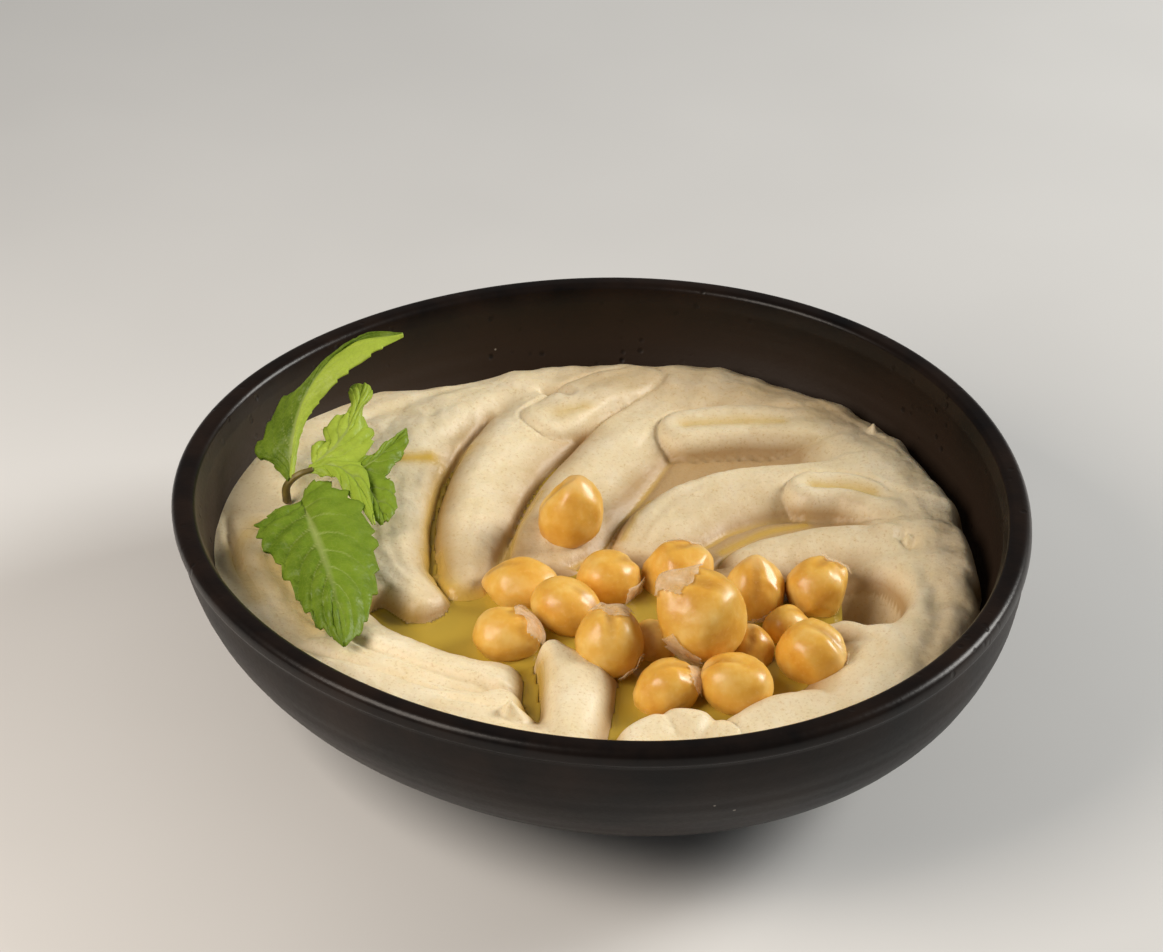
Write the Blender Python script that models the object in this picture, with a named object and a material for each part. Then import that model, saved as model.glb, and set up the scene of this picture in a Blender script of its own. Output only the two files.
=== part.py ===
# Hummus in a stoneware bowl, with chickpeas in olive oil and a sprig of mint.
#
# The bowl stands on z = 0 with the middle of its box over the origin, and is looked into from -Y.
# Sizes are named in millimetres and become metres in to_world().
# Places in the bowl are counted from the middle of the rim, with z = 0 at the rim's top.

import bmesh
import bpy
import numpy as np
from mathutils import Euler, Vector

MM = 0.001

# Bowl
RIM_RADIUS = 80.0
BOWL_HEIGHT = 44.0
WALL = 4.5
LIP_DEPTH = 3.0             # the thick band round the mouth
BODY_RADIUS = 79.2          # just under the lip
BODY_DEPTH = 41.0           # where the round side meets the foot
BODY_FULLNESS = (2.15, 1.84)
FOOT_RADIUS = 31.5
FOOT_RING_WIDTH = 5.0
FOOT_RECESS = 1.2
FLOOR_DEPTH = 38.0          # the inside's floor, below the rim
INSIDE_DEPTHS = (4.0, 13.0, 22.0, 30.0, 35.5, FLOOR_DEPTH)   # where the inside's profile has points
FOOT_LEAN = 3.0             # the hand-made foot sits this far to the right of the mouth
MOUTH_LOBES = (-0.0172, 0.0015)   # cosine and sine part of the three-cornered mouth
RIM_CENTRE_X = 1.252        # brings the middle of the bowl's box over the origin
RIM_CENTRE_Y = 0.118
BOWL_SEGMENTS = 60

# Food
GAP = 0.3                   # between neighbours
OIL_LEVEL = -17.3
POOL_FLOOR = -21.5
POOL_CENTRE = (9.0, -23.0)
POOL_RADII = (38.0, 24.0)
HUMMUS_CELL = 3.8           # size of the surface's facets
LEAF_THICKNESS = 0.7
LEAF_LIFT = 1.1             # least height of a leaf's middle layer over the hummus
STEM_RADIUS = 0.9


def clear_scene():
    for thing in list(bpy.data.objects):
        bpy.data.objects.remove(thing, do_unlink=True)


def material(name, colour, roughness, coat=0.0):
    made = bpy.data.materials.new(name)
    made.use_nodes = True
    shader = made.node_tree.nodes["Principled BSDF"]
    shader.inputs["Base Color"].default_value = (*colour, 1.0)
    shader.inputs["Roughness"].default_value = roughness
    shader.inputs["Metallic"].default_value = 0.0
    shader.inputs["Coat Weight"].default_value = coat
    return made


def to_world(x, y, z):
    """A place counted from the rim's middle in millimetres, as a world place in metres."""
    return Vector((x + RIM_CENTRE_X, y + RIM_CENTRE_Y, z + BOWL_HEIGHT)) * MM


def add_object(name, shape, look=None):
    """Turn a bmesh in rim millimetres into a named object."""
    for vertex in shape.verts:
        vertex.co = to_world(*vertex.co)
    mesh = bpy.data.meshes.new(name)
    shape.to_mesh(mesh)
    shape.free()
    made = bpy.data.objects.new(name, mesh)
    bpy.context.collection.objects.link(made)
    if look is not None:
        mesh.materials.append(look)
    return made


def smooth_shade(thing, crease_degrees=40):
    thing.data.shade_smooth()
    thing.data.set_sharp_from_angle(angle=np.radians(crease_degrees))


def bake_modifiers(thing):
    """Replace an object's mesh by its evaluated one and keep only the largest piece."""
    bpy.context.view_layer.update()
    evaluated = thing.evaluated_get(bpy.context.evaluated_depsgraph_get())
    shape = bmesh.new()
    shape.from_mesh(evaluated.to_mesh())
    thing.modifiers.clear()
    pieces = []
    left = set(shape.verts)
    while left:
        piece = set()
        edge_of_piece = [left.pop()]
        while edge_of_piece:
            vertex = edge_of_piece.pop()
            piece.add(vertex)
            for edge in vertex.link_edges:
                other = edge.other_vert(vertex)
                if other in left:
                    left.remove(other)
                    edge_of_piece.append(other)
        pieces.append(piece)
    pieces.sort(key=len)
    for piece in pieces[:-1]:
        bmesh.ops.delete(shape, geom=list(piece), context='VERTS')
    shape.to_mesh(thing.data)
    shape.free()


def mark_as_cutter(thing):
    thing.hide_render = True
    thing.display_type = 'WIRE'


def cut(thing, cutter, operation):
    step = thing.modifiers.new(operation.title(), 'BOOLEAN')
    step.operation = operation
    step.solver = 'EXACT'
    if isinstance(cutter, bpy.types.Collection):
        step.operand_type = 'COLLECTION'
        step.collection = cutter
    else:
        step.object = cutter


# ---- Bowl ----

def mouth_factor(angle):
    return 1 + MOUTH_LOBES[0] * np.cos(3 * angle) + MOUTH_LOBES[1] * np.sin(3 * angle)


def lean(z):
    """How far the bowl's middle has moved to the right at this depth."""
    return FOOT_LEAN * np.clip(-z / BODY_DEPTH, 0, 1)


def outer_radius(z):
    down = np.clip((-LIP_DEPTH - z) / (BODY_DEPTH - LIP_DEPTH), 0, 1)
    full = (1 - down ** BODY_FULLNESS[0]) ** (1 / BODY_FULLNESS[1])
    return FOOT_RADIUS + (BODY_RADIUS - FOOT_RADIUS) * full


def inner_radius(z):
    return outer_radius(z) - WALL


def turned(profile, segments=BOWL_SEGMENTS):
    """Spin a profile of (radius, z) that starts and ends on the axis, then give it the bowl's outline."""
    shape = bmesh.new()
    line = [shape.verts.new((radius, 0, z)) for radius, z in profile]
    edges = [shape.edges.new(pair) for pair in zip(line, line[1:])]
    bmesh.ops.spin(shape, geom=line + edges, cent=(0, 0, 0), axis=(0, 0, 1), dvec=(0, 0, 0),
                   angle=2 * np.pi, steps=segments, use_merge=True)
    bmesh.ops.remove_doubles(shape, verts=shape.verts, dist=0.001)
    for vertex in shape.verts:
        x, y, z = vertex.co
        factor = mouth_factor(np.arctan2(y, x))
        vertex.co = (x * factor + lean(z), y * factor, z)
    bmesh.ops.recalc_face_normals(shape, faces=shape.faces)
    return shape


def make_bowl(look):
    foot_inside = FOOT_RADIUS - FOOT_RING_WIDTH
    profile = [(0, FOOT_RECESS - BOWL_HEIGHT), (foot_inside - 1, FOOT_RECESS - BOWL_HEIGHT)]
    profile += [(foot_inside, -BOWL_HEIGHT), (FOOT_RADIUS - 0.8, -BOWL_HEIGHT)]
    for z in (-41.0, -39.0, -34.0, -27.0, -19.0, -10.5, -LIP_DEPTH):
        profile.append((outer_radius(z), z))
    profile += [(RIM_RADIUS, -2.6), (RIM_RADIUS, -0.8), (RIM_RADIUS - 0.8, 0)]
    profile += [(RIM_RADIUS - 2.8, 0), (RIM_RADIUS - 3.9, -0.8), (RIM_RADIUS - 4.4, -2.2)]
    profile += [(inner_radius(-depth), -depth) for depth in INSIDE_DEPTHS]
    profile.append((0, -FLOOR_DEPTH))
    bowl = add_object("bowl", turned(profile), look)
    smooth_shade(bowl)


def bowl_room(gap):
    """The bowl's inside up to above the rim, smaller by the gap: a cutter."""
    profile = [(0, gap - FLOOR_DEPTH)]
    profile += [(inner_radius(-depth) - gap, gap - depth) for depth in reversed(INSIDE_DEPTHS)]
    profile += [(profile[-1][0], 5.0), (0, 5.0)]
    room = add_object("bowl_room", turned(profile))
    mark_as_cutter(room)
    return room


# ---- The hummus's surface ----

def smooth_line(points, steps=48):
    """A smooth curve through a few points, as an array of many."""
    given = np.array(points, float)
    ends = np.vstack([2 * given[0] - given[1], given, 2 * given[-1] - given[-2]])
    spans = len(given) - 1
    t = np.linspace(0, 1, steps // spans, endpoint=False)[:, None]
    parts = []
    for a, b, c, d in zip(ends, ends[1:], ends[2:], ends[3:]):
        parts.append(0.5 * (2 * b + (c - a) * t + (2 * a - 5 * b + 4 * c - d) * t ** 2
                            + (3 * b - a - 3 * c + d) * t ** 3))
    return np.vstack(parts + [given[-1:]])


def beside(x, y, line):
    """For each place: distance to the left of a curve, share of its length, and how far past its ends."""
    run = np.gradient(line[:, :2], axis=0)
    run /= np.linalg.norm(run, axis=1, keepdims=True)
    nearest = np.argmin([(x - px) ** 2 + (y - py) ** 2 for px, py in line[:, :2]], axis=0)
    dx = x - line[nearest, 0]
    dy = y - line[nearest, 1]
    ahead = dx * run[nearest, 0] + dy * run[nearest, 1]
    left = dy * run[nearest, 0] - dx * run[nearest, 1]
    past = np.where(nearest == len(line) - 1, np.maximum(ahead, 0), 0)
    before = np.where(nearest == 0, np.maximum(-ahead, 0), 0)
    return left, nearest / (len(line) - 1), past + before


def spread(share, values):
    return np.interp(share, np.linspace(0, 1, len(values)), values)


def ridge(x, y, crest, left, right, cap, fall=(4.5, 4.5), power=2.0):
    """A spooned ridge: its height falls away to the left and right of its crest and past its ends."""
    line = smooth_line(crest)
    side, share, past = beside(x, y, line)
    across_left = np.maximum(side, 0) / spread(share, left)
    across_right = np.maximum(-side, 0) / spread(share, right)
    top = spread(share, line[:, 2])
    return (top - fall[0] * across_left ** power - fall[1] * across_right ** power
            - 4.5 * (past / cap) ** power)


def higher(a, b, blend):
    """The higher of two surfaces, rounded where they meet."""
    near = np.maximum(blend - np.abs(a - b), 0) / blend
    return np.maximum(a, b) + near ** 2 * blend / 4


# Crest from the outer ring in to the pool, then the widths of its left and right side along it.
PETALS = (
    dict(crest=((-36, 55, -12), (-39.6, 40, -12), (-41, 22, -12), (-40.3, 5, -12.2), (-34, -18, -13.6)),
         left=(6, 6, 5.5, 5.5), right=(26, 24, 18, 12), cap=4.5, fall=(4.9, 3.5)),
    dict(crest=((-12, 50, -12), (-20, 38, -12.3), (-25.2, 8, -13), (-27, -11, -15)),
         left=(8, 9.5, 8, 7), right=(7, 9, 9, 8), cap=5, fall=(4.8, 4.4)),
    dict(crest=((12, 54, -12.5), (-1.5, 30, -12.8), (-10.8, 5, -13.2), (-12.6, -2, -14.4)),
         left=(13, 14, 11, 8), right=(7, 8, 8, 7), cap=5, fall=(4.1, 4.8)),
    dict(crest=((52, 36, -12), (27, 24, -13), (10, 9, -13.3), (6.4, 1.5, -14.6)),
         left=(11, 12, 10, 8), right=(6, 7.5, 8, 7), cap=5, fall=(4.3, 4.8)),
    dict(crest=((62, 8, -11), (41, 5, -12.6), (27.5, -2, -14), (23, -5.5, -15.8)),
         left=(9, 9, 9, 8), right=(6, 9, 8, 7), cap=5, fall=(5.5, 4.8)),
)
FRONT_FOLDS = (
    dict(crest=((-60, -14, -12.5), (-50, -26, -12.2), (-31, -39, -12), (-19, -42, -12.4)),
         left=(9, 9, 9, 8), right=(10, 8, 7, 7), cap=5),
    dict(crest=((-9, -33, -11), (-8, -42, -11.2), (-5, -62, -12)),
         left=(5, 8, 11), right=(4, 6, 10), cap=2.5, power=3.5),
    dict(crest=((-17, -50, -12), (-30, -52, -11.6), (-52, -38, -12.4)), left=(6, 6), right=(8, 8), cap=5),
    dict(crest=((6, -58, -12.2), (14, -56.5, -11.6), (22, -57, -12.2)), left=(5, 6, 5), right=(6, 6), cap=4),
    dict(crest=((25, -54, -12), (31, -49, -11.6), (38, -46, -12.2)), left=(6, 6), right=(7, 7), cap=4),
    dict(crest=((42, -23, -14), (46.5, -20.5, -13), (54, -28, -12.4), (48, -46, -12.6)),
         left=(5, 5, 7, 8), right=(4, 4, 4.5, 5), cap=4),
)
# Flat-topped tongues where the spoon was set down, from the ring to the blunt front.
TONGUES = (
    dict(crest=((10, 62, -11.2), (-2, 53.5, -10.4), (-15.2, 38.8, -9.9)),
         left=(8.5, 8, 7.5), right=(7, 7.6, 7.2), cap=5, power=3, fall=(4.5, 4.2)),
    dict(crest=((52, 47, -12), (38, 43, -11), (11.5, 38.8, -10)),
         left=(8, 8.5, 8), right=(6, 8, 8), cap=4.5, power=3, fall=(4.5, 3.5)),
    dict(crest=((62, 12, -11.5), (53, 15.5, -11), (36.5, 18.9, -10)),
         left=(7, 6.5, 7.5), right=(6, 7.5, 7.8), cap=4.2, power=3, fall=(4.2, 4.2)),
)
# Round the ring: degrees, crest radius, crest height, height at the wall, sharpness of the shoulder.
RING = np.array((
    (0, 61, -11, -20, 6), (30, 60, -11, -19, 5), (60, 60, -12, -18, 3.5), (90, 58, -11.5, -17.5, 2.8),
    (108, 61, -11, -17.3, 2.6), (122, 60, -11.5, -14.5, 2.2), (135, 60, -11, -10.5, 1.6),
    (155, 62, -11, -11.2, 2), (180, 62, -12, -12.3, 2.4), (240, 62, -12, -12.5, 2),
    (270, 66, -12, -13, 2), (300, 66, -12, -13, 2), (330, 63, -11.5, -15, 3), (360, 61, -11, -20, 6)))
RING_INSIDE = 16.0          # the ring's inner slope falls RING_FALL over this width
RING_FALL = 5.0
POCKET = (50.5, -12.0, 5.5, 7.5, 5.5)   # hollow at the right: x, y, half sizes and depth


def ring_values(angle):
    degrees = np.degrees(angle) % 360
    at = np.clip(np.searchsorted(RING[:, 0], degrees, side='right') - 1, 0, len(RING) - 2)
    share = (degrees - RING[at, 0]) / (RING[at + 1, 0] - RING[at, 0])
    share = (share * share * (3 - 2 * share))[..., None]
    return np.moveaxis(RING[at, 1:] * (1 - share) + RING[at + 1, 1:] * share, -1, 0)


def hummus_height(x, y):
    """Height of the hummus over each place."""
    from_pool = np.hypot((x - POOL_CENTRE[0]) / POOL_RADII[0], (y - POOL_CENTRE[1]) / POOL_RADII[1])
    height = np.minimum(POOL_FLOOR + 4.2 * np.clip(from_pool - 0.75, 0, 1), OIL_LEVEL - GAP)
    for petal in PETALS:
        height = higher(height, ridge(x, y, **petal), 0.35)
    for fold in FRONT_FOLDS:
        height = higher(height, ridge(x, y, **fold), 0.8)
    centred = x - lean(OIL_LEVEL)
    radius = np.hypot(centred, y)
    angle = np.arctan2(y, centred)
    crest_radius, crest, wall_height, sharpness = ring_values(angle)
    inside = np.maximum(crest_radius - radius, 0) / RING_INSIDE
    height = higher(height, crest - RING_FALL * inside ** 2, 2.2)
    for tongue in TONGUES:
        height = higher(height, ridge(x, y, **tongue), 0.5)
    px, py, half_x, half_y, depth = POCKET
    height = height - depth * np.exp(-(((x - px) / half_x) ** 2 + ((y - py) / half_y) ** 2) ** 1.6)
    wall = inner_radius(wall_height) * mouth_factor(angle)
    shoulder = (radius - crest_radius) / (wall - crest_radius)
    return height - (height - wall_height) * np.clip(shoulder, 0, 1) ** sharpness


def surface_block(raise_by, bottom):
    """A block whose top is the hummus's surface, wider than the bowl's inside."""
    half = RIM_RADIUS + 1
    cells = int(round(2 * half / HUMMUS_CELL))
    shape = bmesh.new()
    bmesh.ops.create_grid(shape, x_segments=cells, y_segments=cells, size=half)
    outside = [v for v in shape.verts if np.hypot(v.co.x, v.co.y) > RIM_RADIUS]
    bmesh.ops.delete(shape, geom=outside, context='VERTS')
    places = np.array([v.co for v in shape.verts])
    heights = hummus_height(places[:, 0], places[:, 1]) + raise_by
    for vertex, height in zip(shape.verts, heights):
        vertex.co.z = height
    bmesh.ops.triangulate(shape, faces=shape.faces, quad_method='BEAUTY')
    underside = bmesh.ops.extrude_face_region(shape, geom=shape.faces[:])
    for vertex in [g for g in underside["geom"] if isinstance(g, bmesh.types.BMVert)]:
        vertex.co.z = bottom
    bmesh.ops.recalc_face_normals(shape, faces=shape.faces)
    return shape


# ---- Chickpeas ----

# Middle, then length along the beak, width and height, then how it is turned, in degrees.
CHICKPEAS = (
    ((-7.0, 5.5, -10.2), (14.0, 11.8, 11.6), (0, -82, 0)),
    ((-15.8, -11.4, -15.0), (12.8, 11.0, 9.8), (0, 5, 170)),
    ((0.4, -9.3, -14.5), (12.4, 11.4, 10.6), (20, 0, 40)),
    ((-7.4, -20.4, -13.2), (12.8, 11.0, 10.4), (0, 10, -20)),
    ((-17.6, -28.6, -14.0), (12.6, 10.8, 10.0), (0, 0, 10)),
    ((1.0, -33.5, -11.2), (13.0, 12.4, 12.2), (0, -50, 95)),
    ((13.3, -5.2, -15.1), (12.4, 11.0, 10.4), (0, -25, 40)),
    ((17.2, -30.2, -7.2), (15.2, 14.0, 14.0), (0, -45, 130)),
    ((27.8, -12.0, -14.5), (12.0, 11.0, 11.0), (0, -75, 90)),
    ((39.6, -10.6, -14.0), (11.4, 10.8, 10.6), (0, -20, 60)),
    ((37.8, -31.9, -13.5), (12.6, 12.0, 12.0), (0, -60, 20)),
    ((26.6, -28.6, -15.7), (9.2, 8.6, 8.6), (0, -60, 90)),
    ((11.3, -42.6, -14.5), (11.8, 10.4, 10.4), (0, -20, 20)),
    ((23.8, -42.0, -13.6), (13.0, 11.6, 11.2), (0, 0, -15)),
    ((9.2, -26.6, -16.5), (9.6, 8.8, 8.8), (0, 0, 90)),
    ((33.4, -20.5, -16.5), (9.0, 8.2, 8.2), (0, 0, 30)),
)
BEAK = 0.16                 # how far the beak stands out, as a share of the radius
BEAK_SPREAD = 0.45
CLEFT = 0.07                # depth of the groove between the two halves
CLEFT_SPREAD = 0.22


def chickpea_shape(middle, size, turn, grow=0.0):
    shape = bmesh.new()
    bmesh.ops.create_uvsphere(shape, u_segments=10, v_segments=6, radius=1)
    rotation = Euler(np.radians(turn)).to_matrix()
    for vertex in shape.verts:
        x, y, z = Vector((vertex.co.z, vertex.co.x, vertex.co.y)).normalized()
        from_beak = np.arccos(np.clip(x, -1, 1))
        reach = 1 + BEAK * np.exp(-(from_beak / BEAK_SPREAD) ** 2)
        reach -= CLEFT * np.exp(-(y / CLEFT_SPREAD) ** 2) * max(x, 0) * max(z, 0)
        reach /= 1 + BEAK / 2
        halves = Vector(size) / 2 + Vector((grow, grow, grow))
        point = Vector((x * halves.x, y * halves.y, z * halves.z)) * reach
        vertex.co = Vector(middle) + rotation @ point
    return shape


def make_chickpeas(look):
    """The chickpeas, and a collection of slightly larger copies that cut room for them."""
    rooms = bpy.data.collections.new("chickpea_rooms")
    bpy.context.scene.collection.children.link(rooms)
    for number, (middle, size, turn) in enumerate(CHICKPEAS, 1):
        pea = add_object(f"chickpea_{number:02d}", chickpea_shape(middle, size, turn), look)
        smooth_shade(pea, 80)
        room = add_object(f"chickpea_room_{number:02d}", chickpea_shape(middle, size, turn, GAP * 1.2))
        bpy.context.collection.objects.unlink(room)
        rooms.objects.link(room)
        mark_as_cutter(room)
    return rooms


# ---- Mint ----

# Each leaf from its stalk to its tip: midrib, left edge and right edge.
LEAVES = {
    "mint_leaf_front": dict(
        rib=((-58.8, 2.6, -6.2), (-55.5, -8.1, -4.6), (-52.4, -18.5, -4.8), (-49.2, -27.7, -6.5), (-46.4, -36, -10)),
        right=((-59.6, 2.6, -6.8), (-64.8, -5, -7.6), (-62.6, -13.5, -8.2), (-56, -27, -9.6), (-47.2, -36, -10.2)),
        left=((-57.6, 3, -6.8), (-46.6, -1.5, -8.2), (-42.2, -12, -8.4), (-41.9, -26, -9.8), (-45.6, -36, -10.2))),
    "mint_leaf_back": dict(
        rib=((-61.6, 9, -5), (-60.2, 14.5, 0), (-58.8, 21.4, 5), (-52.5, 27.4, 9.4), (-40.5, 31.9, 12.4)),
        left=((-62.4, 9.4, -5), (-66.8, 15.5, -3.6), (-65.4, 23.2, 1), (-56.5, 31, 8), (-40.8, 32.8, 12.6)),
        right=((-61, 9.4, -5.2), (-58.4, 15.6, -1.4), (-55.6, 21.2, 3.6), (-49.5, 26.4, 8.2), (-40.2, 31, 12.2))),
    "mint_leaf_middle": dict(
        rib=((-56.2, 10.6, -5), (-52.4, 13.6, -2), (-49.8, 19, 0), (-48.4, 27.4, 2)),
        left=((-56.8, 11.2, -5.2), (-56.4, 15, -3.2), (-53.6, 21, -0.8), (-49.4, 27.8, 1.8)),
        right=((-55.2, 10.2, -5.2), (-47.2, 10.2, -4), (-45.8, 18, -1), (-47.4, 27.4, 1.8))),
    "mint_leaf_right": dict(
        rib=((-49.2, 8.4, -7.4), (-46, 11, -6), (-43, 15, -5), (-39.6, 21.9, -4)),
        left=((-49.6, 9.2, -7.2), (-47.6, 13, -5.6), (-44.4, 17.4, -4.4), (-40.4, 22.2, -4)),
        right=((-48.8, 7.6, -7.8), (-43.6, 0, -8.8), (-41, 8, -7), (-38.8, 21.4, -4.2))),
}
STEM = ((-59.2, 6.6, -10.6), (-60.3, 7.0, -8), (-59.4, 7.2, -5.6), (-57.2, 7.4, -4.2), (-54.8, 7.6, -4))
LEAF_STEPS = 9
LEAF_CROWN = 0.5            # a leaf is a little fuller between its rib and its edges


def make_leaf(name, rib, left, right, look):
    """A loft across a leaf's right edge, midrib and left edge, given its thickness."""
    lines = [smooth_line(edge, 48)[np.linspace(0, 47, LEAF_STEPS).astype(int)] for edge in (right, rib, left)]
    columns = [lines[0], (lines[0] + lines[1]) / 2, lines[1], (lines[1] + lines[2]) / 2, lines[2]]
    for column in (1, 3):
        columns[column] = columns[column] + np.array((0, 0, LEAF_CROWN))
    grid = np.array(columns)
    floor = hummus_height(grid[..., 0], grid[..., 1]) + LEAF_LIFT
    grid[..., 2] = np.maximum(grid[..., 2], floor)
    shape = bmesh.new()
    rows = [[shape.verts.new(place) for place in column] for column in grid]
    for row, following in zip(rows, rows[1:]):
        for a, b, c, d in zip(row, row[1:], following[1:], following):
            shape.faces.new((a, b, c, d))
    leaf = add_object(name, shape, look)
    thickness = leaf.modifiers.new("Thickness", 'SOLIDIFY')
    thickness.thickness = LEAF_THICKNESS * MM
    thickness.offset = 0
    leaf.data.shade_smooth()


def make_stem(look):
    curve = bpy.data.curves.new("mint_stem", 'CURVE')
    curve.dimensions = '3D'
    curve.bevel_depth = STEM_RADIUS * MM
    curve.bevel_resolution = 1
    curve.use_fill_caps = True
    line = smooth_line(STEM, 12)
    spline = curve.splines.new('POLY')
    spline.points.add(len(line) - 1)
    for point, place in zip(spline.points, line):
        point.co = (*to_world(*place), 1)
    curve.materials.append(look)
    bpy.context.collection.objects.link(bpy.data.objects.new("mint_stem", curve))


# ---- Hummus and oil ----

def make_hummus(look, rooms):
    hummus = add_object("hummus", surface_block(0, -BOWL_HEIGHT), look)
    room = bowl_room(GAP)
    cut(hummus, room, 'INTERSECT')
    cut(hummus, rooms, 'DIFFERENCE')
    bake_modifiers(hummus)
    bpy.data.objects.remove(room)
    smooth_shade(hummus)


def make_oil(look, rooms):
    """The pool of oil that the chickpeas lie in, on the hummus and up to its level."""
    shape = bmesh.new()
    bmesh.ops.create_cone(shape, cap_ends=True, segments=32, radius1=1, radius2=1, depth=6)
    for vertex in shape.verts:
        vertex.co = (POOL_CENTRE[0] - 4 + 52 * vertex.co.x, POOL_CENTRE[1] + 2 + 26 * vertex.co.y,
                     OIL_LEVEL - 3 + vertex.co.z)
    oil = add_object("olive_oil", shape, look)
    bed = add_object("oil_bed", surface_block(GAP, -BOWL_HEIGHT))
    mark_as_cutter(bed)
    cut(oil, bed, 'DIFFERENCE')
    cut(oil, rooms, 'DIFFERENCE')
    bake_modifiers(oil)
    bpy.data.objects.remove(bed)
    smooth_shade(oil)


def main():
    clear_scene()
    stoneware = material("black_stoneware", (0.012, 0.011, 0.010), 0.38, coat=0.3)
    chickpea = material("boiled_chickpea", (0.60, 0.30, 0.07), 0.32, coat=0.4)
    mint = material("mint_leaf_green", (0.10, 0.28, 0.02), 0.42)
    twig = material("mint_stem_brown", (0.20, 0.13, 0.05), 0.5)
    paste = material("hummus_paste", (0.66, 0.52, 0.34), 0.48)
    oil = material("olive_oil_pool", (0.42, 0.30, 0.03), 0.08, coat=1.0)
    make_bowl(stoneware)
    rooms = make_chickpeas(chickpea)
    make_hummus(paste, rooms)
    make_oil(oil, rooms)
    for room in list(rooms.objects):
        bpy.data.objects.remove(room)
    for name, edges in LEAVES.items():
        make_leaf(name, look=mint, **edges)
    make_stem(twig)


main()
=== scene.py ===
import bmesh
import bpy
import numpy as np
from mathutils import Euler, Matrix, Vector


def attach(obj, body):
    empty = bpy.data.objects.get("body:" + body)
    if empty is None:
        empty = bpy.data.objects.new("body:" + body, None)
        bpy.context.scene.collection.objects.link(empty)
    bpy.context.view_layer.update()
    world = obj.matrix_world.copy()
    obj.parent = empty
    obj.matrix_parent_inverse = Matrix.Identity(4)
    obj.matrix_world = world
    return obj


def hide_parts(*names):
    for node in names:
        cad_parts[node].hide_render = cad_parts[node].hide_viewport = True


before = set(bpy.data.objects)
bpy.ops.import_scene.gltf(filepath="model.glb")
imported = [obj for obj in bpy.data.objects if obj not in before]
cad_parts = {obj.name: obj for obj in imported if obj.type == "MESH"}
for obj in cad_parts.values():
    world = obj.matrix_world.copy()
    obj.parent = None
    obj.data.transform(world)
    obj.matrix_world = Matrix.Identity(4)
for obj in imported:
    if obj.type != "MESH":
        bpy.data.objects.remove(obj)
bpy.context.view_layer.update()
print("frame loaded")

rimMiddle = (1.252, 0.118, 44.0)    # where the rim's middle is, in millimetres


def linear(code):
    parts = [int(code[i:i + 2], 16) / 255 for i in (1, 3, 5)]
    return [p / 12.92 if p <= 0.04045 else ((p + 0.055) / 1.055) ** 2.4 for p in parts] + [1.0]


def addNode(tree, kind, settings=(), links=(), **values):
    node = tree.nodes.new(kind)
    for name, value in dict(settings).items():
        setattr(node, name, value)
    for socket, source in dict(links).items():
        tree.links.new(source, node.inputs[socket])
    for socket, value in values.items():
        node.inputs[socket.replace("_", " ")].default_value = value
    return node


def startMaterial(name):
    made = bpy.data.materials.new(name)
    made.use_nodes = True
    made.node_tree.nodes.clear()
    return made, made.node_tree


def setRamp(node, stops):
    ramp = node.color_ramp
    while len(ramp.elements) > 1:
        ramp.elements.remove(ramp.elements[-1])
    for number, (place, colour) in enumerate(stops):
        stop = ramp.elements[0] if number == 0 else ramp.elements.new(place)
        stop.position = place
        stop.color = linear(colour) if isinstance(colour, str) else (colour, colour, colour, 1)


def addRamp(tree, source, stops):
    node = addNode(tree, "ShaderNodeValToRGB", links={"Fac": source})
    setRamp(node, stops)
    return node.outputs["Color"]


def mixColours(tree, share, first, second, way="MIX"):
    node = addNode(tree, "ShaderNodeMix", {"data_type": "RGBA", "blend_type": way})
    for socket, value in ((node.inputs[0], share), (node.inputs[6], first), (node.inputs[7], second)):
        if isinstance(value, bpy.types.NodeSocket):
            tree.links.new(value, socket)
        else:
            socket.default_value = linear(value) if isinstance(value, str) else value
    return node.outputs[2]


def addPiece(name, shape, finish, standsFor=(), values=None):
    mesh = bpy.data.meshes.new(name)
    shape.to_mesh(mesh)
    shape.free()
    places = np.empty(len(mesh.vertices) * 3)
    mesh.vertices.foreach_get("co", places)
    places = (places.reshape(-1, 3) + rimMiddle) * 0.001
    mesh.vertices.foreach_set("co", places.ravel())
    for label, numbers in (values or {}).items():
        kind = "FLOAT" if numbers.ndim == 1 else "FLOAT_VECTOR"
        layer = mesh.attributes.new(label, kind, "POINT")
        layer.data.foreach_set("value" if kind == "FLOAT" else "vector", numbers.astype(np.float32).ravel())
    mesh.materials.append(finish)
    mesh.shade_smooth()
    piece = bpy.data.objects.new(name, mesh)
    bpy.context.collection.objects.link(piece)
    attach(piece, "root")
    if standsFor:
        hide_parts(*standsFor)
    return piece


def vertexPlaces(shape):
    return np.array([v.co for v in shape.verts])


def moveVertices(shape, places):
    for vertex, place in zip(shape.verts, places):
        vertex.co = place


def noise(x, y, size, seed):    # smooth bumps from -1 to 1, about size apart
    table = np.random.default_rng(seed).uniform(-1, 1, (64, 64))
    u, v = x / size + 1000, y / size + 1000
    i, j = np.floor(u).astype(int), np.floor(v).astype(int)
    a, b = u - i, v - j
    a, b = a * a * (3 - 2 * a), b * b * (3 - 2 * b)
    low = table[i % 64, j % 64] * (1 - a) + table[(i + 1) % 64, j % 64] * a
    high = table[i % 64, (j + 1) % 64] * (1 - a) + table[(i + 1) % 64, (j + 1) % 64] * a
    return low * (1 - b) + high * b


# Bowl

bowl = dict(rimRadius=80.0, height=44.0, wall=4.5, lipDepth=3.0, bodyRadius=79.2, bodyDepth=41.0,
            fullness=(2.15, 1.84), footRadius=31.5, footRing=5.0, footRecess=1.2, floorDepth=38.0,
            footLean=3.0, mouthCosine=-0.0172, mouthSine=0.0015, narrowing=0.9986, segments=192)


def mouthFactor(angle):
    return 1 + bowl["mouthCosine"] * np.cos(3 * angle) + bowl["mouthSine"] * np.sin(3 * angle)


def lean(z):
    return bowl["footLean"] * np.clip(-z / bowl["bodyDepth"], 0, 1)


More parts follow.
